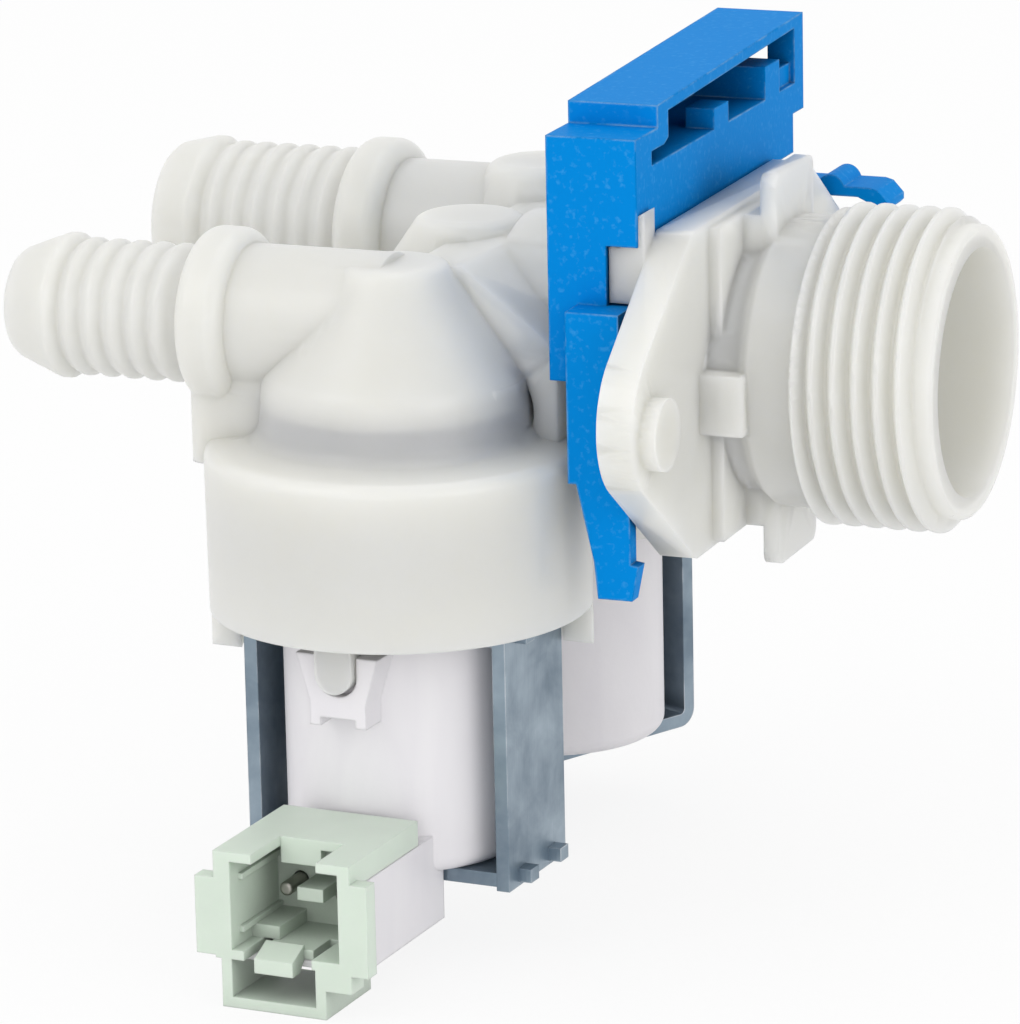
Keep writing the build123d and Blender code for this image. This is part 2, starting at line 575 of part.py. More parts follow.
def guide_tube():
    """Flanged blind tube that the plunger slides in, with the tongue that locks the coil."""
    flange_r = SKIRT_R - SKIRT_WALL - LOOSE_GAP
    tube = turned_z([
        (GUIDE_BORE_R, GUIDE_RECESS_Z), (CHAMBER_R, GUIDE_RECESS_Z), (CHAMBER_R, GUIDE_FLANGE_TOP_Z),
        (flange_r, GUIDE_FLANGE_TOP_Z), (flange_r, GUIDE_FLANGE_BOTTOM_Z),
        (GUIDE_HUB_R, GUIDE_FLANGE_BOTTOM_Z),
        (GUIDE_HUB_R, YOKE_TOP_Z), (GUIDE_TUBE_R, YOKE_TOP_Z),
        (GUIDE_TUBE_R, GUIDE_FLOOR_Z - GUIDE_END_WALL),
        (0, GUIDE_FLOOR_Z - GUIDE_END_WALL), (0, GUIDE_FLOOR_Z), (GUIDE_BORE_R, GUIDE_FLOOR_Z)])
    straight_z = TONGUE_BOTTOM_Z + TONGUE_HALF_WIDTH
    tongue = block(-TONGUE_HALF_WIDTH, TONGUE_HALF_WIDTH, -TONGUE_OUTER_R, -TONGUE_INNER_R,
                   straight_z, GUIDE_FLANGE_BOTTOM_Z)
    tongue += Pos(0, 0, straight_z) * rod_y(TONGUE_HALF_WIDTH, -TONGUE_OUTER_R, -TONGUE_INNER_R)
    return tube + tongue


def plunger():
    """Steel plunger with a narrowed top, a pocket for its seal and two grooves for the water."""
    steel = turned_z([
        (0, PLUNGER_BOTTOM_Z), (PLUNGER_R - 0.4, PLUNGER_BOTTOM_Z), (PLUNGER_R, PLUNGER_BOTTOM_Z + 0.4),
        (PLUNGER_R, PLUNGER_TOP_Z - 1.4), (PLUNGER_TIP_R, PLUNGER_TOP_Z - 0.4),
        (PLUNGER_TIP_R, PLUNGER_TOP_Z),
        (SEAL_R, PLUNGER_TOP_Z), (SEAL_R, PLUNGER_TOP_Z - SEAL_DEPTH), (0, PLUNGER_TOP_Z - SEAL_DEPTH)])
    groove = Pos(PLUNGER_R, 0, 0) * disc_z(PLUNGER_GROOVE_R, PLUNGER_BOTTOM_Z - 1, PLUNGER_TOP_Z + 1)
    return steel - groove - Rot(0, 0, 180) * groove


def plunger_seal():
    """Rubber pad in the top of the plunger."""
    return disc_z(SEAL_R, PLUNGER_TOP_Z - SEAL_DEPTH, PLUNGER_TOP_Z)


def plunger_spring():
    """Coil spring between the blind end of the guide tube and the plunger."""
    low = GUIDE_FLOOR_Z + SPRING_WIRE_R
    high = PLUNGER_BOTTOM_Z - SPRING_WIRE_R
    pitch = (high - low) / SPRING_TURNS
    path = Pos(0, 0, low) * Helix(pitch=pitch, height=high - low, radius=SPRING_R)
    section = Plane(origin=path @ 0, z_dir=path % 0) * Circle(SPRING_WIRE_R)
    return sweep(section, path=path)


def flux_sleeve(z0, z1):
    """Steel sleeve round the guide tube that leads the magnet's field to the plunger."""
    return ring_z(SLEEVE_OUTER_R, SLEEVE_INNER_R, z0, z1)


def bobbin():
    """Spool that the wire is wound on."""
    core_r = COIL_BORE_R + BOBBIN_WALL
    return turned_z([
        (COIL_BORE_R, SPOOL_BOTTOM_Z), (COIL_POCKET_R, SPOOL_BOTTOM_Z),
        (COIL_POCKET_R, SPOOL_BOTTOM_Z + BOBBIN_FLANGE), (core_r, SPOOL_BOTTOM_Z + BOBBIN_FLANGE),
        (core_r, SPOOL_TOP_Z - BOBBIN_FLANGE), (COIL_POCKET_R, SPOOL_TOP_Z - BOBBIN_FLANGE),
        (COIL_POCKET_R, SPOOL_TOP_Z), (COIL_BORE_R, SPOOL_TOP_Z)])


def winding():
    """Copper winding, as one sleeve."""
    return ring_z(COIL_POCKET_R - WINDING_MARGIN, COIL_BORE_R + BOBBIN_WALL,
                  SPOOL_BOTTOM_Z + BOBBIN_FLANGE, SPOOL_TOP_Z - BOBBIN_FLANGE)


def latch_lug():
    """Raised lug at the top of the coil with a U-shaped slot and two short feet."""
    outline = [
        (-LUG_HALF_WIDTH, LATCH_LUG_TOP_Z), (-LUG_FOOT_HALF_WIDTH, LATCH_LUG_WAIST_Z),
        (-LUG_FOOT_HALF_WIDTH, LATCH_LUG_BOTTOM_Z), (-LUG_TIE_HALF_WIDTH, LATCH_LUG_BOTTOM_Z),
        (-LUG_TIE_HALF_WIDTH, LATCH_LUG_TIE_Z), (LUG_TIE_HALF_WIDTH, LATCH_LUG_TIE_Z),
        (LUG_TIE_HALF_WIDTH, LATCH_LUG_BOTTOM_Z), (LUG_FOOT_HALF_WIDTH, LATCH_LUG_BOTTOM_Z),
        (LUG_FOOT_HALF_WIDTH, LATCH_LUG_WAIST_Z), (LUG_HALF_WIDTH, LATCH_LUG_TOP_Z)]
    lug = plate_y(outline, -COIL_R - LATCH_LUG_PROUD, -COIL_R / 2)
    slot_z = LATCH_SLOT_FLOOR_Z + LATCH_SLOT_R
    slot = block(-LATCH_SLOT_R, LATCH_SLOT_R, -COIL_R - LATCH_LUG_PROUD - 1, -TONGUE_INNER_R + LOOSE_GAP,
                 slot_z, LATCH_LUG_TOP_Z + 1)
    slot += Pos(0, 0, slot_z) * rod_y(LATCH_SLOT_R, -COIL_R - LATCH_LUG_PROUD - 1,
                                      -TONGUE_INNER_R + LOOSE_GAP)
    return lug - slot


def coil_case():
    """White overmoulding round the wound bobbin, with the arm that carries the connector."""
    drum = disc_z(COIL_R, COIL_BOTTOM_Z, COIL_TOP_Z)
    drum = fillet(drum.edges().filter_by(GeomType.CIRCLE).sort_by(Axis.Z)[:1], COIL_EDGE_ROUND)
    case = drum + latch_lug()
    case += block(-ARM_HALF_WIDTH, ARM_HALF_WIDTH, ARM_FRONT_Y, -COIL_R / 2, ARM_BOTTOM_Z, ARM_TOP_Z)
    case -= block(-COIL_R, COIL_R, -COIL_R / 2 - 1, COIL_R, ARM_BOTTOM_Z - 1, COIL_BOTTOM_Z)
    socket_x = ARM_HALF_WIDTH - ARM_WALL
    case -= block(-socket_x, socket_x, ARM_FRONT_Y - 1, ARM_FLOOR_Y, ARM_BOTTOM_Z + ARM_WALL,
                  ARM_TOP_Z + 1)
    case -= disc_z(COIL_BORE_R, COIL_BOTTOM_Z - 1, COIL_TOP_Z + 1)
    case -= ring_z(COIL_POCKET_R, COIL_BORE_R - 1, SPOOL_BOTTOM_Z, SPOOL_TOP_Z)
    for side in (-1, 1):
        case -= Pos(side * TERMINAL_PITCH / 2, 0, TERMINAL_Z) * rod_y(TERMINAL_R, TERMINAL_TIP_Y,
                                                                      TERMINAL_ROOT_Y)
    return case


def terminal(side):
    """Round contact pin from the coil into the connector."""
    pin = rod_y(TERMINAL_R, TERMINAL_TIP_Y, TERMINAL_ROOT_Y)
    pin = fillet(pin.edges().filter_by(GeomType.CIRCLE).sort_by(Axis.Y)[:1], TERMINAL_R / 2)
    return Pos(side * TERMINAL_PITCH / 2, 0, TERMINAL_Z) * pin


def connector_housing():
    """Coloured connector liner: a keyed socket, a latch tongue and an open channel below."""
    half = ARM_HALF_WIDTH
    liner_x = half - ARM_WALL - LOOSE_GAP / 2
    floor_z = ARM_BOTTOM_Z + ARM_WALL + LOOSE_GAP / 2
    lid_z = ARM_TOP_Z + LOOSE_GAP / 2
    floor_y = ARM_FLOOR_Y - LOOSE_GAP / 2
    rim_back = ARM_FRONT_Y - LOOSE_GAP / 2
    shell = block(-half, half, HOUSING_FRONT_Y, HOUSING_BACK_Y, lid_z, HOUSING_TOP_Z)
    shell += block(-liner_x, liner_x, HOUSING_FRONT_Y, floor_y, floor_z, lid_z)
    shell += block(-half, half, HOUSING_FRONT_Y, rim_back, floor_z, HOUSING_TOP_Z)
    rim_y = HOUSING_FRONT_Y + RIM_THICKNESS
    shell += block(-half - LEFT_RIM_REACH, -half, HOUSING_FRONT_Y, rim_y,
                   HOUSING_BOTTOM_Z + 1, HOUSING_TOP_Z - RIM_MARGIN)
    shell += block(half, half + RIGHT_RIM_REACH, HOUSING_FRONT_Y, rim_y,
                   HOUSING_BOTTOM_Z, HOUSING_TOP_Z - RIM_MARGIN)
    channel = block(CHANNEL_LEFT_X, CHANNEL_RIGHT_X, HOUSING_FRONT_Y, CHANNEL_BACK_Y, CHANNEL_BOTTOM_Z,
                    ARM_BOTTOM_Z - LOOSE_GAP / 2)
    channel += block(CHANNEL_LEFT_X, half, HOUSING_FRONT_Y, rim_back, ARM_BOTTOM_Z - 1, floor_z)
    channel -= block(CHANNEL_LEFT_X + CHANNEL_WALL, CHANNEL_RIGHT_X - CHANNEL_WALL, HOUSING_FRONT_Y - 1,
                     CHANNEL_BACK_Y + 1, CHANNEL_BOTTOM_Z + CHANNEL_WALL, ARM_BOTTOM_Z - LOOSE_GAP)
    shell += channel
    cavity_x = liner_x - HOUSING_WALL
    cavity_floor_z = floor_z + HOUSING_WALL
    cavity_top_z = HOUSING_TOP_Z - HOUSING_WALL
    cavity_back_y = floor_y - HOUSING_FLOOR
    shell -= block(-cavity_x, cavity_x, HOUSING_FRONT_Y - 1, cavity_back_y, cavity_floor_z, cavity_top_z)
    shell -= block(NOTCH_LEFT_X, NOTCH_RIGHT_X, HOUSING_FRONT_Y - 1, HOUSING_FRONT_Y + NOTCH_DEPTH,
                   cavity_top_z - 1, HOUSING_TOP_Z + 1)
    key = block(-KEY_HALF_WIDTH, KEY_HALF_WIDTH, cavity_back_y - KEY_LENGTH, cavity_back_y,
                TERMINAL_Z - KEY_HEIGHT / 2, TERMINAL_Z + KEY_HEIGHT / 2)
    shell += key
    shell -= block(LATCH_LEFT_X - CHANNEL_WALL, LATCH_RIGHT_X + CHANNEL_WALL, HOUSING_FRONT_Y - 1,
                   HOUSING_FRONT_Y + NOTCH_DEPTH, ARM_BOTTOM_Z - 0.5, cavity_floor_z + 0.2)
    latch_top = cavity_floor_z
    ramp = [
        (HOUSING_FRONT_Y, latch_top - HOUSING_WALL), (cavity_back_y + 0.1, latch_top - HOUSING_WALL),
        (cavity_back_y + 0.1, latch_top), (HOUSING_FRONT_Y + LATCH_RAMP_LENGTH, latch_top),
        (HOUSING_FRONT_Y + LATCH_RAMP_LENGTH, latch_top + LATCH_RAMP_HEIGHT),
        (HOUSING_FRONT_Y + 0.8, latch_top + 0.3),
        (HOUSING_FRONT_Y, latch_top)]
    shell += plate_x(ramp, LATCH_LEFT_X, LATCH_RIGHT_X)
    for side in (-1, 1):
        hole = rod_y(TERMINAL_R + LOOSE_GAP, cavity_back_y - 1, ARM_FLOOR_Y + 1)
        shell -= Pos(side * TERMINAL_PITCH / 2, 0, TERMINAL_Z) * hole
    return shell


def yoke_frame():
    """Bent steel strip: a top plate, a bent leg and a bottom plate with two stakes on each free end."""
    inner_x = YOKE_HALF_WIDTH - YOKE_SHEET
    strip = block(-YOKE_HALF_WIDTH, inner_x, -YOKE_HALF_DEPTH, YOKE_HALF_DEPTH, YOKE_BOTTOM_Z, YOKE_TOP_Z)
    strip = fillet(strip.edges().filter_by(Axis.Y).sort_by(Axis.X)[:2], YOKE_BEND_R)
    inside = block(-inner_x, YOKE_HALF_WIDTH, -YOKE_HALF_DEPTH - 1, YOKE_HALF_DEPTH + 1, COIL_BOTTOM_Z,
                   COIL_TOP_Z)
    strip -= fillet(inside.edges().filter_by(Axis.Y).sort_by(Axis.X)[:2], YOKE_BEND_R - YOKE_SHEET)
    strip -= disc_z(GUIDE_TUBE_R + LOOSE_GAP, YOKE_BOTTOM_Z - 1, YOKE_TOP_Z + 1)
    for level in (YOKE_BOTTOM_Z, COIL_TOP_Z):
        for side in (-1, 1):
            middle = side * STAKE_OFFSET
            strip += block(inner_x, YOKE_HALF_WIDTH + STAKE_REACH, middle - STAKE_WIDTH / 2,
                           middle + STAKE_WIDTH / 2, level, level + YOKE_SHEET)
    return strip


def yoke_plate():
    """Loose leg of the yoke, slotted for the stakes of the bent strip."""
    inner_x = YOKE_HALF_WIDTH - YOKE_SHEET
    low = YOKE_BOTTOM_Z - 0.35
    plate = block(inner_x, YOKE_HALF_WIDTH, -YOKE_HALF_DEPTH, YOKE_HALF_DEPTH, low, YOKE_TOP_Z + 0.35)
    for level in (YOKE_BOTTOM_Z, COIL_TOP_Z):
        for side in (-1, 1):
            middle = side * STAKE_OFFSET
            plate -= block(inner_x - 1, YOKE_HALF_WIDTH + 1, middle - STAKE_WIDTH / 2,
                           middle + STAKE_WIDTH / 2, level, level + YOKE_SHEET)
    return plate


def clip_side(side):
    """One leg of the clip with its thick lower block and hooked tongue, on the side given."""
    leg = block(CLIP_BACK_X, CLIP_FACE_X, -CLIP_SIDE_Y, -CLIP_INNER_Y, CLIP_LEG_BOTTOM_Z, CLIP_SHOULDER_Z)
    leg = fillet(leg.edges().filter_by(Axis.Z).sort_by(Axis.Y)[:2], CLIP_EDGE_ROUND)
    leg -= block(CLIP_LEG_BACK_STEP_X, CLIP_FACE_X + 1, -CLIP_SIDE_Y - 1, -CLIP_INNER_Y - 0.4,
                 CLIP_BLOCK_TOP_Z, CLIP_LEG_STEP_Z)
    heel = block(CLIP_BLOCK_BACK_X, CLIP_BLOCK_FACE_X, -CLIP_BLOCK_Y, -CLIP_INNER_Y,
                 CLIP_BLOCK_BOTTOM_Z, CLIP_BLOCK_TOP_Z)
    leg += fillet(heel.edges().filter_by(Axis.Z).sort_by(Axis.Y)[:2], CLIP_EDGE_ROUND)
    back = CLIP_BLOCK_BACK_X
    face = CLIP_BLOCK_FACE_X
    low = CLIP_TONGUE_BOTTOM_Z
    tongue = [
        (back + 0.7, CLIP_BLOCK_BOTTOM_Z), (face, CLIP_BLOCK_BOTTOM_Z),
        (face + 0.7, CLIP_BLOCK_BOTTOM_Z - 2.4),
        (face + 0.7, low + 3.0), (face + 1.4, low + 2.9), (face + 0.8, low), (back + 2.4, low),
        (back + 2.1, low + 3.1)]
    leg += plate_y(tongue, -CLIP_BLOCK_Y, -CLIP_BLOCK_Y + CLIP_TONGUE_THICKNESS)
    return leg if side < 0 else leg.mirror(Plane.XZ)


def mounting_clip():
    """Sliding clip: a hollow top bar with a window, a plate behind the flange, two legs and a lever."""
    clip = block(CLIP_BAR_BACK_X, CLIP_BAR_FACE_X, CLIP_BAR_FRONT_Y, CLIP_BAR_REAR_Y,
                 CLIP_LEG_STEP_Z, CLIP_BAR_TOP_Z)
    clip += block(CLIP_BACK_X, CLIP_FACE_X, -CLIP_SIDE_Y, CLIP_SIDE_Y, CLIP_LEG_STEP_Z, CLIP_SHOULDER_Z)
    clip -= block(CLIP_BAR_FACE_X - 0.7, CLIP_BAR_FACE_X + 1, CLIP_BAR_FRONT_Y - 1, CLIP_BAR_REAR_Y + 1,
                  CLIP_LEG_STEP_Z - 1, CLIP_WINDOW_LOW_Z - 3)
    hollow_back = CLIP_BAR_BACK_X + CLIP_WALL
    clip -= block(hollow_back, CLIP_BAR_FACE_X + 1, CLIP_WINDOW_FRONT_Y, CLIP_WINDOW_STEP_Y,
                  CLIP_WINDOW_LOW_Z, CLIP_WINDOW_STEP_Z)
    clip -= block(hollow_back, CLIP_BAR_FACE_X + 1, CLIP_WINDOW_STEP_Y, CLIP_WINDOW_REAR_Y,
                  CLIP_WINDOW_LOW_Z, CLIP_WINDOW_HIGH_Z)
    clip += block(hollow_back, CLIP_BAR_FACE_X, CLIP_TOOTH_FRONT_Y, CLIP_TOOTH_REAR_Y,
                  CLIP_WINDOW_LOW_Z, CLIP_WINDOW_STEP_Z + 1)
    plate_back = FLANGE_BACK_X - CLIP_GAP - CLIP_WALL
    clip += block(plate_back, FLANGE_BACK_X - CLIP_GAP, -CLIP_INNER_Y, CLIP_INNER_Y,
                  CLIP_PLATE_BOTTOM_Z, CLIP_LEG_STEP_Z)
    for side in (-1, 1):
        clip += clip_side(side)
    clip -= rod_x(NECK_R + SEAT_GAP, CLIP_BACK_X - 1, CLIP_FACE_X + 1)
    lever_low = LEVER_TOP_Z - LEVER_HEIGHT
    lever_y0 = LEVER_REAR_Y - LEVER_THICKNESS
    lever = [
        (CLIP_BLOCK_BACK_X, lever_low), (LEVER_TIP_X - 1.5, lever_low), (LEVER_TIP_X, LEVER_TOP_Z - 1),
        (LEVER_TIP_X, LEVER_TOP_Z), (CLIP_BLOCK_BACK_X, LEVER_TOP_Z)]
    clip += plate_y(lever, lever_y0, LEVER_REAR_Y)
    clip += Pos(LEVER_KNOB_X, 0, LEVER_TOP_Z - 0.4) * rod_y(LEVER_KNOB_R, lever_y0, LEVER_REAR_Y)
    clip += block(CLIP_BLOCK_BACK_X, CLIP_BLOCK_BACK_X + CLIP_WALL * 2, lever_y0, LEVER_REAR_Y,
                  lever_low, CLIP_LEG_STEP_Z + 1)
    return clip


def valve_works(name, turn, x, y):
    """All pieces of one valve below the body, named and set in place."""
    upright = Pos(x, y, 0)
    turned = upright * Rot(0, 0, turn)
    return {
        name + "_diaphragm": upright * diaphragm(),
        name + "_diaphragm_insert": upright * diaphragm_insert(),
        name + "_guide_tube": turned * guide_tube(),
        name + "_plunger": turned * plunger(),
        name + "_plunger_seal": turned * plunger_seal(),
        name + "_plunger_spring": turned * plunger_spring(),
        name + "_upper_flux_sleeve": turned * flux_sleeve(COIL_TOP_Z - UPPER_SLEEVE_LENGTH, COIL_TOP_Z),
        name + "_lower_flux_sleeve": turned * flux_sleeve(COIL_BOTTOM_Z,
                                                          COIL_BOTTOM_Z + LOWER_SLEEVE_LENGTH),
        name + "_bobbin": turned * bobbin(),
        name + "_winding": turned * winding(),
        name + "_coil_case": turned * coil_case(),
        name + "_left_terminal": turned * terminal(-1),
        name + "_right_terminal": turned * terminal(1),
        name + "_connector_housing": turned * connector_housing(),
        name + "_yoke_frame": turned * yoke_frame(),
        name + "_yoke_plate": turned * yoke_plate(),
    }


parts = {
    "valve_body": valve_body(),
    "inlet_strainer": strainer(),
    "flow_regulator": flow_regulator(),
    "mounting_clip": mounting_clip(),
}
parts.update(valve_works("front", FRONT_COIL_TURN, VALVE_X, -VALVE_Y))
parts.update(valve_works("rear", REAR_COIL_TURN, VALVE_X, VALVE_Y))

os.makedirs("parts", exist_ok=True)
for node, shape in parts.items():
    export_step(shape, f"parts/{node}.step")
    print(node, "solids", len(shape.solids()), "volume", round(shape.volume, 1))
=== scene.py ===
"""Dresses a packed twin water inlet valve: its finishes, its thread, the fine shapes of its clip
and connector housings, the studio and the camera."""

import math

import bmesh
import bpy
import numpy as np
from bpy.props import FloatProperty, FloatVectorProperty, IntProperty, PointerProperty
from mathutils import Matrix, Vector


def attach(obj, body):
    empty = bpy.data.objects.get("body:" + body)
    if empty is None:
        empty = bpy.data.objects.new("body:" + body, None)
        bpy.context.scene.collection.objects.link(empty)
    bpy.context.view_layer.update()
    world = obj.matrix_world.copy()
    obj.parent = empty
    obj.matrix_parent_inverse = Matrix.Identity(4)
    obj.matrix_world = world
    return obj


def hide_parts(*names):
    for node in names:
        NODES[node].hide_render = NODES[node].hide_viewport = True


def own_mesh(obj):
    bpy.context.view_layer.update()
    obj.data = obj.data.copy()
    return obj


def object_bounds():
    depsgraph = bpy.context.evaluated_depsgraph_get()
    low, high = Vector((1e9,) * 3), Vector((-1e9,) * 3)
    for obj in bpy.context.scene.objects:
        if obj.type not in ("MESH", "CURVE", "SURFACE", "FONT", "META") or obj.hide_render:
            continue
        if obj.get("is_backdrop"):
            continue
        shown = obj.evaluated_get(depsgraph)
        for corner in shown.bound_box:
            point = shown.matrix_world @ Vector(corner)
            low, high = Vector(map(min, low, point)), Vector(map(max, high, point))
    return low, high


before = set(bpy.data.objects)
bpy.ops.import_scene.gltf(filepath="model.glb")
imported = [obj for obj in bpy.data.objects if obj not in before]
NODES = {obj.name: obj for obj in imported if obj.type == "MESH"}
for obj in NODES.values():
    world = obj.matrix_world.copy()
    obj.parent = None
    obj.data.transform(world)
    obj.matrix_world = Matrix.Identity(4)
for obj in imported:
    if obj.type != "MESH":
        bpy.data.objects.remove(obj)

bl_info = {
    "name": "Twin water inlet valve",
    "version": (1, 0, 0),
    "blender": (4, 5, 0),
    "location": "3D View > Sidebar > Inlet valve",
    "description": "Finishes, fine shapes, studio and camera for a twin water inlet valve",
    "category": "Object",
}

MM = 0.001

# Rays that a softened edge and the painted shade of a hollow take at each point
SOFT_RAYS = 6
PAINTED_SHADE_RAYS = 8

# Axes of the front (-1) and the rear (1) valve, in millimetres, and how their coils are turned
VALVE_X = -43.7
VALVE_Y = 16.5
COIL_TURNS = {-1: math.radians(-3.2), 1: math.radians(243.0)}

# The camera that was fitted to the photograph: its turn, its tilt and its roll, and where it is
CAMERA_ACROSS = math.radians(21.84)
CAMERA_RISE = math.radians(15.17)
CAMERA_ROLL = math.radians(-1.23)
CAMERA_PLACE = (0.14459, -0.4622, 0.12011)
FOCAL_LENGTH = 217.36    # mm, on a sensor 36 mm wide
SENSOR_WIDTH = 36.0


def linear(hex_colour):
    """Turns an sRGB hex colour into linear red, green and blue."""
    value = np.array([int(hex_colour[i:i + 2], 16) for i in (1, 3, 5)]) / 255.0
    curve = ((value + 0.055) / 1.055) ** 2.4
    return tuple(np.where(value <= 0.04045, value / 12.92, curve).tolist())


def colour(name, hex_colour, description):
    """A colour property whose default is that sRGB hex value."""
    return FloatVectorProperty(name=name, description=description, subtype="COLOR", size=3,
                               min=0.0, max=1.0, default=linear(hex_colour))


def length(name, millimetres, description):
    """A length property whose default is given in millimetres."""
    return FloatProperty(name=name, description=description, unit="LENGTH", subtype="DISTANCE",
                         precision=5, default=millimetres * MM)


class ValveSizes(bpy.types.PropertyGroup):
    """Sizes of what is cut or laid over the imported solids, and of what moves inside."""

    thread_radius: length("Thread radius", 13.15, "Crest of the inlet thread, from its axis")
    thread_pitch: length("Thread pitch", 1.814, "Advance in one turn, 14 threads to the inch")
    thread_depth: length("Thread depth", 1.15, "Crest to root")
    thread_crest: length("Thread crest", 0.34, "Flat left on top of each thread")
    thread_first: length("First crest", -2.85, "Place of the first crest on top of the spout")
    thread_end: length("Thread end", -11.9, "Where the groove has left the thread's flange side")
    thread_angle: FloatProperty(name="Thread angle", description="Angle between the two flanks",
                                subtype="ANGLE", default=math.radians(55.0))
    thread_segments: IntProperty(name="Thread segments", description="Steps in one turn",
                                 default=96, min=24)
    edge: length("Soft edge", 0.3, "How far light softens a moulded edge")
    plunger_travel: length("Plunger travel", 2.5, "How far a plunger slides down")
    spring_foot: length("Spring foot", -35.5, "Height of the spring's fixed end")
    diaphragm_travel: length("Diaphragm travel", 1.5, "How far a diaphragm's centre moves")
    diaphragm_rim: length("Diaphragm rim", -11.2, "Height of the diaphragm's fixed end")


class ValveColours(bpy.types.PropertyGroup):
    """Colours of the finishes."""

    nylon: colour("Natural nylon", "#D9D9D6", "Unfilled nylon of the body and the guide tubes")
    nylon_deep: colour("Nylon, thick", "#D6D5CE", "The same nylon where it is thick")
    azure: colour("Azure plastic", "#0082D2", "Acetal of the sliding clip")
    azure_scuff: colour("Azure plastic, scuffed", "#3E9ADB", "Where the clip has been rubbed")
    azure_worn: colour("Azure plastic, worn", "#A5CBE6", "Edges that have been handled")
    nylon_dirt: colour("Scuff", "#4A4A44", "Dirt rubbed into the thread's end")
    mint: colour("Mint plastic", "#D3DFD2", "Nylon of the connector housings")
    coil: colour("Coil white", "#EAE8EA", "Moulding round the coils")
    coil_shade: colour("Coil white, hollow", "#DEDBE0", "Flow marks in the coils' moulding")
    zinc: colour("Zinc plate", "#6E7E8C", "Plated steel of the yokes")
    zinc_light: colour("Zinc plate, light", "#9CABB7", "Light grains of the plating")
    zinc_edge: colour("Zinc plate, edges", "#D9DEE2", "Bright sheared edges")
    steel: colour("Stainless steel", "#A8AAAC", "Plungers and springs")
    tin: colour("Tinned brass", "#9A9892", "Connector pins")
    copper: colour("Enamelled copper", "#8C3F1E", "Windings")
    rubber: colour("Black rubber", "#1C1C1E", "Diaphragms, seals and the flow regulator")
    floor: colour("Floor", "#F2F2F2", "Floor that the valve stands on")


class StudioLight(bpy.types.PropertyGroup):
    """Strength of the studio's lamps and surroundings."""

    key: FloatProperty(name="Key", description="Lamp above and left of the camera", unit="POWER",
                       default=1.0, min=0.0)
    fill: FloatProperty(name="Fill", description="Lamp on the mouth's side", unit="POWER",
                        default=1.1, min=0.0)
    front: FloatProperty(name="Front", description="Lamp below the camera", unit="POWER",
                         default=0.8, min=0.0)
    top: FloatProperty(name="Top", description="Lamp over the valve", unit="POWER",
                       default=0.6, min=0.0)
    surroundings: FloatProperty(name="Surroundings", description="Strength of the white room",
                                default=0.9, min=0.0)


def add(tree, kind, inputs=None, **settings):
    """Adds a node with its settings; each input takes a value or another node's output."""
    node = tree.nodes.new(kind)
    for name, value in settings.items():
        setattr(node, name, value)
    for name, value in (inputs or {}).items():
        if isinstance(value, bpy.types.NodeSocket):
            tree.links.new(value, node.inputs[name])
        else:
            node.inputs[name].default_value = value
    return node


def finish_named(name):
    """An empty material of that name, its node tree, and its object coordinates."""
    material = bpy.data.materials.new(name)
    material.use_nodes = True
    material.node_tree.nodes.clear()
    tree = material.node_tree
    place = add(tree, "ShaderNodeTexCoord").outputs["Object"]
    return material, tree, place


def close_finish(tree, shader):
    """Joins the shader to the material's output."""
    add(tree, "ShaderNodeOutputMaterial", {"Surface": shader})


def dress(material, *names):
    """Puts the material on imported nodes, each of which keeps its mesh."""
    for name in names:
        slots = NODES[name].material_slots
        if not slots:
            raise RuntimeError("the node " + name + " has no material slot")
        for each in slots:
            each.material = material


def rgba(value):
    """A colour property as the four numbers a colour socket takes."""
    return (*value, 1.0)


def both(name):
    """The names of the front and the rear node."""
    return "front_" + name, "rear_" + name


def worn_edges(tree, soft, patches, most):
    """How far an edge is rubbed, 0 to most: where the softened normal leaves the true one, and the
    patches' noise is high."""
    true = add(tree, "ShaderNodeNewGeometry").outputs["Normal"]
    meet = add(tree, "ShaderNodeVectorMath", {0: soft.outputs["Normal"], 1: true},
               operation="DOT_PRODUCT")
    edge = add(tree, "ShaderNodeMapRange", {"Value": meet.outputs["Value"], "From Min": 0.99,
                                            "From Max": 0.9, "To Min": 0.0, "To Max": most})
    rubbed = add(tree, "ShaderNodeMapRange", {"Value": patches.outputs["Fac"], "From Min": 0.44,
                                              "From Max": 0.62})
    return add(tree, "ShaderNodeMath", {0: edge.outputs["Result"], 1: rubbed.outputs["Result"]},
               operation="MULTIPLY").outputs[0]


def painted_hollow_shade(tree, tint, reach, least):
    """The tint with painted shade in a hollow: times 1 in the open, times least where nearly every
    direction meets a wall within reach."""
    seen = add(tree, "ShaderNodeAmbientOcclusion", {"Distance": reach},
               samples=PAINTED_SHADE_RAYS)
    share = add(tree, "ShaderNodeMapRange", {"Value": seen.outputs["AO"], "From Min": 0.15,
                                             "From Max": 0.6, "To Min": least})
    return add(tree, "ShaderNodeMix", {0: 1.0, 6: tint, 7: share.outputs["Result"]},
               data_type="RGBA", blend_type="MULTIPLY").outputs[2]


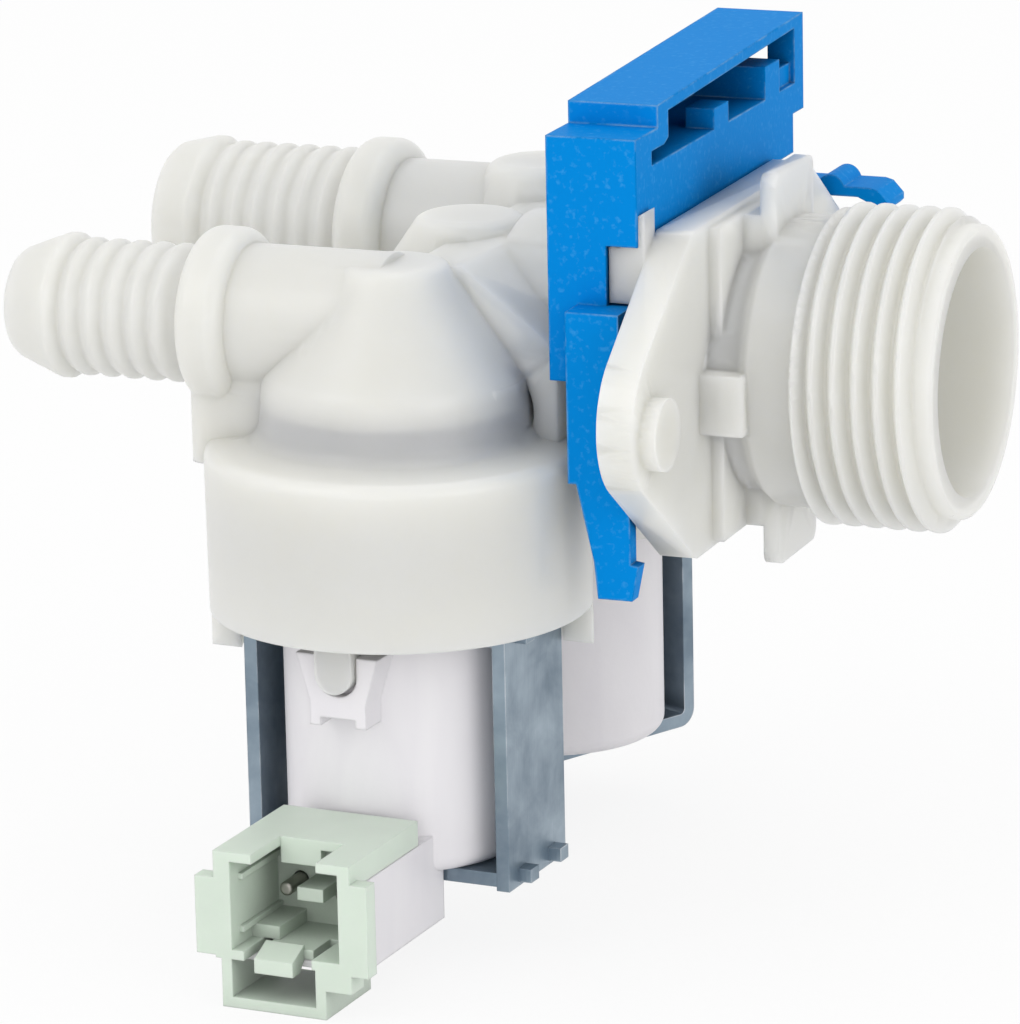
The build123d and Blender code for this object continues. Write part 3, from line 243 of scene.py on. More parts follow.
def natural_nylon(colours, sizes):
    """Unfilled nylon, injection moulded: milky, lets light soak in, satin, with faint flow clouds,
    and dirt rubbed into the thread's end by the hose's nut."""
    material, tree, place = finish_named("natural_nylon")
    # Flow clouds about 9 mm wide
    clouds = add(tree, "ShaderNodeTexNoise", {"Vector": place, "Scale": 110.0, "Detail": 8.0,
                                              "Roughness": 0.65})
    tint = add(tree, "ShaderNodeMix", {0: clouds.outputs["Fac"], 6: rgba(colours.nylon_deep),
                                       7: rgba(colours.nylon)}, data_type="RGBA")
    # Scuffs 0.3 to 1 mm across, on the first 2 mm of the spout and outside its bore
    along = add(tree, "ShaderNodeSeparateXYZ", {"Vector": place})
    from_axis = add(tree, "ShaderNodeVectorMath", {0: place, 1: (0.0, 1.0, 1.0)},
                    operation="MULTIPLY")
    from_axis = add(tree, "ShaderNodeVectorMath", {0: from_axis.outputs["Vector"]},
                    operation="LENGTH")
    near = add(tree, "ShaderNodeMapRange", {"Value": along.outputs["X"], "From Min": -0.0024,
                                            "From Max": -0.0008})
    outer = add(tree, "ShaderNodeMapRange", {"Value": from_axis.outputs["Value"],
                                             "From Min": 0.0112, "From Max": 0.0118})
    specks = add(tree, "ShaderNodeTexNoise", {"Vector": place, "Scale": 420.0, "Detail": 7.0,
                                              "Roughness": 0.75})
    scuff = add(tree, "ShaderNodeMapRange", {"Value": specks.outputs["Fac"], "From Min": 0.645,
                                             "From Max": 0.69, "To Min": 0.0, "To Max": 0.9})
    scuff = add(tree, "ShaderNodeMath", {0: scuff.outputs["Result"], 1: near.outputs["Result"]},
                operation="MULTIPLY")
    scuff = add(tree, "ShaderNodeMath", {0: scuff.outputs[0], 1: outer.outputs["Result"]},
                operation="MULTIPLY")
    tint = add(tree, "ShaderNodeMix", {0: scuff.outputs[0], 6: tint.outputs[2],
                                       7: rgba(colours.nylon_dirt)}, data_type="RGBA")
    # Eroded mould skin, real grain about 0.1 mm, drawn at 0.5 mm so that it shows
    skin = add(tree, "ShaderNodeTexNoise", {"Vector": place, "Scale": 2000.0, "Detail": 2.0})
    soft = add(tree, "ShaderNodeBevel", {"Radius": sizes.edge}, samples=SOFT_RAYS)
    relief = add(tree, "ShaderNodeBump", {"Height": skin.outputs["Fac"], "Strength": 0.04,
                                          "Distance": 0.0001, "Normal": soft.outputs["Normal"]})
    shader = add(tree, "ShaderNodeBsdfPrincipled", {
        "Base Color": tint.outputs[2], "Roughness": 0.32, "IOR": 1.53,
        "Subsurface Weight": 1.0, "Subsurface Radius": (1.0, 0.98, 0.9),
        "Subsurface Scale": 0.006, "Normal": relief.outputs["Normal"]})
    close_finish(tree, shader.outputs["BSDF"])
    return material


def azure_acetal(colours, sizes):
    """Acetal, injection moulded from a spark-eroded tool: even azure, satin, fine pale specks,
    rubbed paler in spots and on its edges, with painted shade darkening its hollows."""
    material, tree, place = finish_named("azure_plastic")
    # Rubbed spots about 5 mm across, in short scratches
    spots = add(tree, "ShaderNodeTexNoise", {"Vector": place, "Scale": 210.0, "Detail": 6.0,
                                             "Roughness": 0.7})
    rubbed = add(tree, "ShaderNodeMapRange", {"Value": spots.outputs["Fac"], "From Min": 0.62,
                                              "From Max": 0.8, "To Min": 0.0, "To Max": 0.35})
    tint = add(tree, "ShaderNodeMix", {0: rubbed.outputs["Result"], 6: rgba(colours.azure),
                                       7: rgba(colours.azure_scuff)}, data_type="RGBA")
    # Fine pale specks, 0.3 mm across
    dust = add(tree, "ShaderNodeTexNoise", {"Vector": place, "Scale": 1900.0, "Detail": 3.0})
    specks = add(tree, "ShaderNodeMapRange", {"Value": dust.outputs["Fac"], "From Min": 0.56,
                                              "From Max": 0.72, "To Min": 0.0, "To Max": 0.45})
    tint = add(tree, "ShaderNodeMix", {0: specks.outputs["Result"], 6: tint.outputs[2],
                                       7: rgba(colours.azure_scuff)}, data_type="RGBA")
    # Spark-eroded grain, 0.15 mm, drawn at 0.4 mm so that it shows
    grain = add(tree, "ShaderNodeTexNoise", {"Vector": place, "Scale": 2500.0, "Detail": 2.0})
    soft = add(tree, "ShaderNodeBevel", {"Radius": sizes.edge}, samples=SOFT_RAYS)
    relief = add(tree, "ShaderNodeBump", {"Height": grain.outputs["Fac"], "Strength": 0.12,
                                          "Distance": 0.0001, "Normal": soft.outputs["Normal"]})
    worn = worn_edges(tree, soft, spots, 0.5)
    tint = add(tree, "ShaderNodeMix", {0: worn, 6: tint.outputs[2],
                                       7: rgba(colours.azure_worn)}, data_type="RGBA")
    # Painted shade: the base colour is darkened where an occlusion node finds walls close, in the
    # clip's hollows
    shader = add(tree, "ShaderNodeBsdfPrincipled", {
        "Base Color": painted_hollow_shade(tree, tint.outputs[2], 0.008, 0.35), "Roughness": 0.5,
        "IOR": 1.48, "Specular IOR Level": 0.03,
        "Normal": relief.outputs["Normal"]})
    close_finish(tree, shader.outputs["BSDF"])
    return material


def mint_nylon(colours, sizes):
    """Filled nylon, injection moulded: pale mint, a little milky, satin, with a fine even grain,
    and painted shade darkening its hollows."""
    material, tree, place = finish_named("mint_plastic")
    clouds = add(tree, "ShaderNodeTexNoise", {"Vector": place, "Scale": 260.0, "Detail": 2.0})
    shade = add(tree, "ShaderNodeMapRange", {"Value": clouds.outputs["Fac"], "To Min": 0.93,
                                             "To Max": 1.03})
    tint = add(tree, "ShaderNodeMix", {0: 1.0, 6: rgba(colours.mint), 7: shade.outputs["Result"]},
               data_type="RGBA", blend_type="MULTIPLY")
    grain = add(tree, "ShaderNodeTexNoise", {"Vector": place, "Scale": 3000.0, "Detail": 2.0})
    soft = add(tree, "ShaderNodeBevel", {"Radius": sizes.edge * 0.6}, samples=SOFT_RAYS)
    relief = add(tree, "ShaderNodeBump", {"Height": grain.outputs["Fac"], "Strength": 0.1,
                                          "Distance": 0.0001, "Normal": soft.outputs["Normal"]})
    # Painted shade: the base colour is darkened where an occlusion node finds walls close, in the
    # housing's hollows
    shader = add(tree, "ShaderNodeBsdfPrincipled", {
        "Base Color": painted_hollow_shade(tree, tint.outputs[2], 0.007, 0.6), "Roughness": 0.45,
        "IOR": 1.53, "Subsurface Weight": 0.3, "Subsurface Radius": (0.8, 1.0, 0.8),
        "Subsurface Scale": 0.0008, "Normal": relief.outputs["Normal"]})
    close_finish(tree, shader.outputs["BSDF"])
    return material


def coil_moulding(colours, sizes):
    """Thermoplastic moulded round the winding: opaque white, satin, with streaky flow marks."""
    material, tree, place = finish_named("white_plastic")
    # Flow marks 4 mm apart, drawn out upwards
    drawn = add(tree, "ShaderNodeMapping", {"Vector": place, "Scale": (260.0, 260.0, 70.0)})
    marks = add(tree, "ShaderNodeTexNoise", {"Vector": drawn.outputs["Vector"], "Scale": 1.0,
                                             "Detail": 4.0, "Distortion": 0.6})
    tint = add(tree, "ShaderNodeMix", {0: marks.outputs["Fac"], 6: rgba(colours.coil_shade),
                                       7: rgba(colours.coil)}, data_type="RGBA")
    skin = add(tree, "ShaderNodeTexNoise", {"Vector": place, "Scale": 1400.0, "Detail": 3.0})
    soft = add(tree, "ShaderNodeBevel", {"Radius": sizes.edge}, samples=SOFT_RAYS)
    relief = add(tree, "ShaderNodeBump", {"Height": skin.outputs["Fac"], "Strength": 0.15,
                                          "Distance": 0.0001, "Normal": soft.outputs["Normal"]})
    shader = add(tree, "ShaderNodeBsdfPrincipled", {
        "Base Color": tint.outputs[2], "Roughness": 0.48, "IOR": 1.5,
        "Subsurface Weight": 0.15, "Subsurface Radius": (1.0, 1.0, 1.0),
        "Subsurface Scale": 0.0006, "Normal": relief.outputs["Normal"]})
    close_finish(tree, shader.outputs["BSDF"])
    return material


def zinc_plate(colours, sizes):
    """Mild steel, zinc plated then pressed: blue-grey, cloudy bright and dull, with fine rolling
    lines."""
    material, tree, place = finish_named("zinc_plated_steel")
    # Cloudy plating, patches about 4 mm across
    patches = add(tree, "ShaderNodeTexNoise", {"Vector": place, "Scale": 200.0, "Detail": 4.0,
                                               "Roughness": 0.55, "Distortion": 0.3})
    fac = add(tree, "ShaderNodeMapRange", {"Value": patches.outputs["Fac"], "From Min": 0.25,
                                           "From Max": 0.8})
    tint = add(tree, "ShaderNodeMix", {0: fac.outputs["Result"], 6: rgba(colours.zinc),
                                       7: rgba(colours.zinc_light)}, data_type="RGBA")
    gloss = add(tree, "ShaderNodeMapRange", {"Value": patches.outputs["Fac"], "From Min": 0.3,
                                             "From Max": 0.7, "To Min": 0.5, "To Max": 0.28})
    # Rolling lines, 0.2 mm apart, upright in the yoke's legs
    drawn = add(tree, "ShaderNodeMapping", {"Vector": place, "Scale": (5000.0, 5000.0, 220.0)})
    lines = add(tree, "ShaderNodeTexNoise", {"Vector": drawn.outputs["Vector"], "Scale": 1.0,
                                             "Detail": 2.0})
    soft = add(tree, "ShaderNodeBevel", {"Radius": sizes.edge * 0.5}, samples=SOFT_RAYS)
    sheared = worn_edges(tree, soft, patches, 0.8)
    tint = add(tree, "ShaderNodeMix", {0: sheared, 6: tint.outputs[2],
                                       7: rgba(colours.zinc_edge)}, data_type="RGBA")
    relief = add(tree, "ShaderNodeBump", {"Height": lines.outputs["Fac"], "Strength": 0.18,
                                          "Distance": 0.0001, "Normal": soft.outputs["Normal"]})
    shader = add(tree, "ShaderNodeBsdfPrincipled", {
        "Base Color": tint.outputs[2], "Metallic": 0.8, "Roughness": gloss.outputs["Result"],
        "Normal": relief.outputs["Normal"]})
    close_finish(tree, shader.outputs["BSDF"])
    return material


def turned_steel(colours):
    """Ferritic stainless steel, turned or drawn: grey, bright, with fine lines round its axis."""
    material, tree, place = finish_named("stainless_steel")
    drawn = add(tree, "ShaderNodeMapping", {"Vector": place, "Scale": (300.0, 300.0, 6000.0)})
    lines = add(tree, "ShaderNodeTexNoise", {"Vector": drawn.outputs["Vector"], "Scale": 1.0,
                                             "Detail": 2.0})
    gloss = add(tree, "ShaderNodeMapRange", {"Value": lines.outputs["Fac"], "To Min": 0.2,
                                             "To Max": 0.4})
    relief = add(tree, "ShaderNodeBump", {"Height": lines.outputs["Fac"], "Strength": 0.1,
                                          "Distance": 0.0001})
    shader = add(tree, "ShaderNodeBsdfPrincipled", {
        "Base Color": rgba(colours.steel), "Metallic": 1.0,
        "Roughness": gloss.outputs["Result"], "Normal": relief.outputs["Normal"]})
    close_finish(tree, shader.outputs["BSDF"])
    return material


def tinned_brass(colours):
    """Brass strip, tinned then stamped: warm grey, half dull, with a finely mottled plating."""
    material, tree, place = finish_named("tinned_brass")
    mottle = add(tree, "ShaderNodeTexNoise", {"Vector": place, "Scale": 1500.0, "Detail": 3.0})
    gloss = add(tree, "ShaderNodeMapRange", {"Value": mottle.outputs["Fac"], "To Min": 0.25,
                                             "To Max": 0.45})
    shader = add(tree, "ShaderNodeBsdfPrincipled", {
        "Base Color": rgba(colours.tin), "Metallic": 1.0, "Roughness": gloss.outputs["Result"]})
    close_finish(tree, shader.outputs["BSDF"])
    return material


def enamelled_copper(colours):
    """Enamelled copper wire wound in layers: red-brown, glossy, ribbed at the wire's pitch."""
    material, tree, place = finish_named("copper_wire")
    # Wire 0.12 mm thick, drawn at 0.3 mm so that it shows
    turns = add(tree, "ShaderNodeTexWave", {"Vector": place, "Scale": 1050.0, "Distortion": 0.2},
                bands_direction="Z")
    relief = add(tree, "ShaderNodeBump", {"Height": turns.outputs["Fac"], "Strength": 0.6,
                                          "Distance": 0.0001})
    shader = add(tree, "ShaderNodeBsdfPrincipled", {
        "Base Color": rgba(colours.copper), "Metallic": 0.8, "Roughness": 0.3,
        "Coat Weight": 0.6, "Coat Roughness": 0.15, "Normal": relief.outputs["Normal"]})
    close_finish(tree, shader.outputs["BSDF"])
    return material


def moulded_rubber(colours):
    """Ethylene propylene rubber, compression moulded: black, dull, with a dusty bloom."""
    material, tree, place = finish_named("black_rubber")
    bloom = add(tree, "ShaderNodeTexNoise", {"Vector": place, "Scale": 500.0, "Detail": 4.0})
    shade = add(tree, "ShaderNodeMapRange", {"Value": bloom.outputs["Fac"], "To Min": 0.8,
                                             "To Max": 1.6})
    tint = add(tree, "ShaderNodeMix", {0: 1.0, 6: rgba(colours.rubber),
                                       7: shade.outputs["Result"]},
               data_type="RGBA", blend_type="MULTIPLY")
    shader = add(tree, "ShaderNodeBsdfPrincipled", {
        "Base Color": tint.outputs[2], "Roughness": 0.68, "IOR": 1.52})
    close_finish(tree, shader.outputs["BSDF"])
    return material


def thread_groove(sizes):
    """The groove between the threads: a trapezoid, narrow at the root, carried round the X axis
    while it moves one pitch per turn. x = top + pitch * (t - quarter turn) / turn + offset,
    y = r * cos t, z = r * sin t, for each corner's offset and r, which is a right-hand helix."""
    flank = math.tan(sizes.thread_angle / 2)
    crest_r = sizes.thread_radius
    proud = 0.2 * MM
    opening = sizes.thread_pitch - sizes.thread_crest
    half = np.array([opening / 2 - sizes.thread_depth * flank, opening / 2 + proud * flank])
    offset = np.array([-half[0], half[0], half[1], -half[1]])
    radius = crest_r + np.array([-sizes.thread_depth, -sizes.thread_depth, proud, proud])
    top = sizes.thread_first + sizes.thread_pitch / 2
    turns = (top + sizes.thread_pitch - sizes.thread_end) / sizes.thread_pitch
    steps = int(turns * sizes.thread_segments)
    t = math.pi / 2 + 2 * math.pi - np.arange(steps + 1) * 2 * math.pi / sizes.thread_segments
    advance = top + sizes.thread_pitch * (t - math.pi / 2) / (2 * math.pi)
    points = np.stack([advance[:, None] + offset[None, :],
                       radius[None, :] * np.cos(t)[:, None],
                       radius[None, :] * np.sin(t)[:, None]], axis=2)
    ring = np.arange(steps)[:, None] * 4
    side = np.arange(4)[None, :]
    after = (side + 1) % 4
    walls = np.stack([ring + side, ring + after, ring + 4 + after, ring + 4 + side], axis=2)
    last = steps * 4
    faces = np.concatenate([walls.reshape(-1, 4), [[3, 2, 1, 0]],
                            [[last, last + 1, last + 2, last + 3]]])
    mesh = bpy.data.meshes.new("thread_groove")
    mesh.from_pydata(points.reshape(-1, 3).tolist(), [], faces.tolist())
    return mesh


def face_outwards(mesh, merge=0.0):
    """Merges doubles closer than that, turns all normals outwards, checks the shell is closed."""
    shell = bmesh.new()
    shell.from_mesh(mesh)
    if merge:
        bmesh.ops.remove_doubles(shell, verts=shell.verts, dist=merge)
        bmesh.ops.dissolve_degenerate(shell, edges=shell.edges, dist=merge)
    bmesh.ops.recalc_face_normals(shell, faces=shell.faces)
    torn = sum(1 for edge in shell.edges if not edge.is_manifold)
    shell.to_mesh(mesh)
    shell.free()
    if torn:
        raise RuntimeError(mesh.name + " isn't closed: " + str(torn) + " edges")


def placed(name, mesh):
    """An object of that mesh, unturned at the origin."""
    piece = bpy.data.objects.new(name, mesh)
    bpy.context.scene.collection.objects.link(piece)
    return piece


def slab(axis, low, high, outline, far=None):
    """A straight slab, in millimetres: the outline's corners at low on the axis and again at high,
    or the far outline's there, joined by one wall per side."""
    near = np.array(outline, float)
    ends = np.concatenate([near, near if far is None else np.array(far, float)])
    along = np.repeat([low, high], len(near))
    points = np.insert(ends, "xyz".index(axis), along, axis=1) * MM
    ring = np.arange(len(near))
    after = np.roll(ring, -1)
    walls = np.stack([ring, after, after + len(near), ring + len(near)], axis=1)
    mesh = bpy.data.meshes.new("slab")
    mesh.from_pydata(points.tolist(), [], [*walls.tolist(), ring[::-1].tolist(),
                                           (ring + len(near)).tolist()])
    return mesh


def box(x0, x1, y0, y1, z0, z1):
    """A box between two opposite corners, in millimetres."""
    return slab("x", x0, x1, [(y0, z0), (y1, z0), (y1, z1), (y0, z1)])


def rod(axis, radius, low, high, first, second, steps=48):
    """A round rod along the axis, its middle at first and second on the other two."""
    t = np.arange(steps) * 2 * math.pi / steps
    ring = np.stack([first + radius * np.cos(t), second + radius * np.sin(t)], axis=1)
    return slab(axis, low, high, ring)


def carved(name, base, steps, placement=None):
    """The base joined with (+) or cut by (-) each step's mesh in turn, by exact booleans. A
    placement then moves the result."""
    meshes = [base] + [mesh for _, mesh in steps]
    for mesh in meshes:
        face_outwards(mesh)
    piece = placed(name, base)
    tools = [placed("tool", mesh) for mesh in meshes[1:]]
    for (kind, _), tool in zip(steps, tools):
        change = piece.modifiers.new("change", "BOOLEAN")
        change.operation = "UNION" if kind == "+" else "DIFFERENCE"
        change.solver = "EXACT"
        change.object = tool
    bpy.context.view_layer.update()
    view = bpy.context.evaluated_depsgraph_get()
    result = bpy.data.meshes.new_from_object(piece.evaluated_get(view))
    piece.modifiers.clear()
    if len(result.polygons) < 6:
        raise RuntimeError(name + " came out empty")
    if placement is not None:
        result.transform(placement)
    result.name = name
    piece.data = result
    for tool in tools:
        bpy.data.objects.remove(tool)
    return piece


def finished(piece, material, node):
    """Smooths all but the sharp edges, gives the piece its material, puts it in a node's place."""
    mesh = piece.data
    mesh.materials.clear()
    mesh.materials.append(material)
    mesh.shade_smooth()
    mesh.set_sharp_from_angle(angle=math.radians(28.0))
    flat = piece.modifiers.new("flat_faces", "WEIGHTED_NORMAL")
    flat.mode = "FACE_AREA"
    flat.keep_sharp = True
    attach(piece, "valve")
    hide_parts(node)


def coil_place(side):
    """Where a coil's own frame lies: the front one's for side -1, the rear one's for side 1."""
    place = Vector((VALVE_X, side * VALVE_Y, 0.0)) * MM
    return Matrix.Translation(place) @ Matrix.Rotation(COIL_TURNS[side], 4, "Z")


def dome_patch(side):
    """A thin sheet inside a dome's wall where the duct between the valves meets it: a sector of a
    cone, outer r from 11.27 mm at the foot to 10.79 mm at the waist, t from -20 to 60 degrees."""
    t = np.radians(np.linspace(-20, 60, 33)) * -side
    turn = np.stack([np.cos(t), np.sin(t)], axis=1)
    centre = np.array([VALVE_X, side * VALVE_Y])
    foot = np.concatenate([11.27 * turn, 10.45 * turn[::-1]]) + centre
    waist = np.concatenate([10.79 * turn, 10.45 * turn[::-1]]) + centre
    return slab("z", -4.0, 0.8, foot, waist)


def body_changes():
    """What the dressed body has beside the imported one: dowels in place, and whole domes."""
    steps = []
    for side in (-1, 1):
        steps += [("-", rod("x", 3.0, -19.0, -16.0, side * 22.6, -0.7)),
                  ("+", rod("x", 2.9, -20.0, -17.6, side * 24.0, -0.6)),
                  ("+", dome_patch(side))]
    return [*steps, ("-", box(-25.2, -22.0, 14.4, 17.0, 12.4, 15.4))]


def clip_shape():
    """The sliding clip: a hollow, sloping top bar with a window, a tooth and a stop, a plate
    behind the flange, two legs with a heel and a hooked tongue, and a thin bent finger lever."""
    back, face = -30.1, -22.5
    base = slab("x", back, face, [(-17.2, 15.9), (-17.2, 21.2), (-12.1, 21.2), (-12.1, 23.0),
                                  (23.3, 24.1), (23.3, 15.9)])
    steps = [("-", slab("x", back + 1.2, face + 1, [(-15.3, 18.45), (-15.3, 19.6), (-10.7, 19.6),
                                                    (-9.7, 20.0), (-9.7, 22.15), (21.1, 23.11),
                                                    (21.1, 18.45)])),
             ("-", box(back + 1.2, face - 2.4, 18.0, 24.3, 17.0, 22.15)),
             ("+", box(face - 2.5, face, 1.05, 4.5, 15.9, 20.15)),
             ("+", box(face - 2.4, face - 0.5, 18.0, 22.3, 15.9, 20.15)),
             ("+", box(face - 1.7, face, -13.6, 20.6, 12.6, 18.45))]
    steps.append(("-", box(-24.05, face + 1, -18.2, -14.1, 12.4, 15.6)))
    for side in (-1, 1):
        inner, outer, heel = side * 13.6, side * 17.2, side * 20.1
        tongue = [(-26.9, -6.3), (-23.1, -6.3), (-22.4, -8.7), (-22.4, -12.6), (-21.7, -12.7),
                  (-22.3, -15.6), (-25.2, -15.6), (-25.5, -12.5)]
        steps += [("+", box(back, face, *sorted((inner, outer)), 1.3, 21.2)),
                  ("-", box(-25.15, face + 1, *sorted((side * 14.1, side * 18.2)), 7.7, 12.55)),
                  ("+", box(-27.6, -23.1, *sorted((inner, heel)), -6.3, 7.7)),
                  ("+", slab("y", *sorted((heel, side * 18.7)), tongue))]
    t = np.linspace(0, math.pi, 17)
    ridge = np.stack([-19.5 + 1.3 * np.cos(t), 9.2 + 1.5 * np.sin(t)], axis=1)
    paddle = [(-27.6, 8.9), (-17.1, 8.9), (-15.8, 8.3), (-14.8, 7.7), (-14.5, 8.0), (-14.5, 8.55),
              (-15.4, 9.55), (-16.1, 9.75), (-27.6, 9.75)]
    steps += [("-", rod("x", 11.3, back - 1, face + 1, 0.0, 0.0, steps=96)),
              ("+", box(-27.6, -25.5, 16.2, 26.0, 6.7, 9.6)),
              ("+", slab("y", 21.4, 26.0, paddle)),
              ("+", slab("y", 21.4, 26.0, ridge))]
    return base, steps


def housing_shape():
    """A connector housing in its coil's frame: an open channel, a stepped rim, a keyed socket,
    a latch tongue with a nose, a flap, a platform and two ribs."""
    base = box(-5.5, 3.7, -23.0, -15.0, -46.3, -42.95)
    nose = [(-23.0, -43.15), (-21.75, -43.15), (-20.85, -42.25), (-20.35, -42.25),
            (-20.35, -41.45), (-20.8, -41.45), (-20.8, -41.05), (-23.0, -41.95)]
    steps = [("+", box(-5.5, 6.0, -23.0, -20.85, -43.9, -42.25)),
             ("-", box(-4.6, 2.8, -24.0, -14.0, -45.4, -41.25)),
             ("+", box(-6.0, 6.0, -23.0, -10.4, -35.35, -33.3)),
             ("+", box(-5.35, 5.35, -23.0, -13.45, -42.25, -35.35)),
             ("+", box(-6.0, 6.0, -23.0, -20.85, -42.25, -33.3)),
             ("+", box(-7.7, -6.0, -23.0, -21.5, -42.03, -35.55)),
             ("+", box(6.0, 7.5, -23.0, -21.5, -42.4, -34.8)),
             ("-", box(-4.55, 4.95, -24.0, -14.55, -41.45, -34.1)),
             ("-", box(-2.6, 3.1, -24.0, -17.8, -35.1, -32.3)),
             ("+", box(-1.15, 1.15, -17.95, -14.55, -38.45, -37.35)),
             ("+", box(-2.6, 1.0, -17.8, -17.0, -35.5, -33.3)),
             ("+", box(-4.55, -2.1, -19.4, -14.55, -41.45, -40.35)),
             ("+", box(-4.55, -4.2, -21.5, -14.55, -40.4, -39.9)),
             ("+", box(-4.55, -4.2, -21.5, -14.55, -36.0, -35.5)),
             ("-", box(-3.5, 2.5, -24.0, -17.8, -43.4, -41.44)),
             ("+", box(-2.6, 1.6, -20.85, -14.45, -42.25, -41.45)),
             ("+", slab("x", -2.6, 0.8, nose)),
             ("-", rod("y", 0.7, -15.6, -12.4, -2.5, -37.9, steps=24)),
             ("-", rod("y", 0.7, -15.6, -12.4, 2.5, -37.9, steps=24))]
    return base, steps


class DressBody(bpy.types.Operator):
    """Cuts the thread into a copy of the body, moves its dowels, closes its domes, in nylon"""

    bl_idname = "inlet_valve.dress_body"
    bl_label = "Moulded body"

    def execute(self, context):
        sizes = context.scene.valve_sizes
        mesh = NODES["valve_body"].data.copy()
        mesh.materials.clear()
        face_outwards(mesh, merge=0.000002)
        body = carved("threaded_body", mesh, [*body_changes(), ("-", thread_groove(sizes))])
        if len(body.data.polygons) < len(mesh.polygons) // 2:
            raise RuntimeError("the thread could not be cut into the body")
        nylon = natural_nylon(context.scene.valve_colours, sizes)
        finished(body, nylon, "valve_body")
        dress(nylon, "valve_body", "inlet_strainer", *both("guide_tube"))
        return {"FINISHED"}


class DressClip(bpy.types.Operator):
    """Builds the sliding mounting clip and gives it its azure acetal"""

    bl_idname = "inlet_valve.dress_clip"
    bl_label = "Mounting clip"

    def execute(self, context):
        scene = context.scene
        azure = azure_acetal(scene.valve_colours, scene.valve_sizes)
        clip = carved("sliding_clip", *clip_shape())
        finished(clip, azure, "mounting_clip")
        dress(azure, "mounting_clip")
        return {"FINISHED"}


class DressCoils(bpy.types.Operator):
    """Gives both coils their white moulding, bobbins and copper windings"""

    bl_idname = "inlet_valve.dress_coils"
    bl_label = "Coils"

    def execute(self, context):
        scene = context.scene
        dress(coil_moulding(scene.valve_colours, scene.valve_sizes),
              *both("coil_case"), *both("bobbin"))
        dress(enamelled_copper(scene.valve_colours), *both("winding"))
        return {"FINISHED"}


class DressConnectors(bpy.types.Operator):
    """Builds both connectors' mint housings and tins their pins"""

    bl_idname = "inlet_valve.dress_connectors"
    bl_label = "Connectors"

    def execute(self, context):
        scene = context.scene
        mint = mint_nylon(scene.valve_colours, scene.valve_sizes)
        for side, node in zip((-1, 1), both("connector_housing")):
            housing = carved(node + "_liner", *housing_shape(), placement=coil_place(side))
            finished(housing, mint, node)
            dress(mint, node)
        dress(tinned_brass(scene.valve_colours), *both("left_terminal"), *both("right_terminal"))
        return {"FINISHED"}


class DressYokes(bpy.types.Operator):
    """Gives both yokes and their flux sleeves zinc plate"""

    bl_idname = "inlet_valve.dress_yokes"
    bl_label = "Yokes"

    def execute(self, context):
        scene = context.scene
        dress(zinc_plate(scene.valve_colours, scene.valve_sizes), *both("yoke_frame"),
              *both("yoke_plate"), *both("upper_flux_sleeve"), *both("lower_flux_sleeve"))
        return {"FINISHED"}


def yields(name):
    """Gives a spring or diaphragm a mesh of its own."""
    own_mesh(NODES[name])


class DressWorks(bpy.types.Operator):
    """Dresses plungers, springs, diaphragms and flow regulator; springs and diaphragms get meshes
    of their own
    """

    bl_idname = "inlet_valve.dress_works"
    bl_label = "Valve works"

    def execute(self, context):
        scene = context.scene
        dress(turned_steel(scene.valve_colours), *both("plunger"), *both("plunger_spring"))
        dress(moulded_rubber(scene.valve_colours), *both("diaphragm"), *both("plunger_seal"),
              "flow_regulator")
        dress(bpy.data.materials["white_plastic"], *both("diaphragm_insert"))
        for side in ("front_", "rear_"):
            yields(side + "plunger_spring")
            yields(side + "diaphragm")
        return {"FINISHED"}


def floor_disc(height, reach):
    """A flat round floor: x = r * cos t, y = r * sin t, z = height, r from 0 to reach."""
    t = np.linspace(0, 2 * math.pi, 64, endpoint=False)
    rim = np.stack([reach * np.cos(t), reach * np.sin(t), np.full(64, height)], axis=1)
    mesh = bpy.data.meshes.new("floor")
    mesh.from_pydata(rim.tolist(), [], [list(range(64))])
    return mesh


def white_when_seen(tree, share):
    """Share for rays from the camera, from gloss and through glass, nought for the others."""
    rays = add(tree, "ShaderNodeLightPath")
    seen = add(tree, "ShaderNodeMath", {0: rays.outputs["Is Camera Ray"],
                                        1: rays.outputs["Is Glossy Ray"]}, operation="MAXIMUM")
    seen = add(tree, "ShaderNodeMath", {0: seen.outputs[0],
                                        1: rays.outputs["Is Transmission Ray"]},
               operation="MAXIMUM")
    return add(tree, "ShaderNodeMath", {0: seen.outputs[0], 1: share},
               operation="MULTIPLY").outputs[0]


def lamp(name, power, size, place, aim):
    """A square soft lamp at that place, in metres, aimed at a point."""
    light = bpy.data.lights.new(name, "AREA")
    light.energy = power
    light.shape = "SQUARE"
    light.size = size
    holder = bpy.data.objects.new(name, light)
    holder.location = place
    holder.rotation_mode = "QUATERNION"
    holder.rotation_quaternion = (Vector(aim) - Vector(place)).to_track_quat("-Z", "Y")
    bpy.context.scene.collection.objects.link(holder)


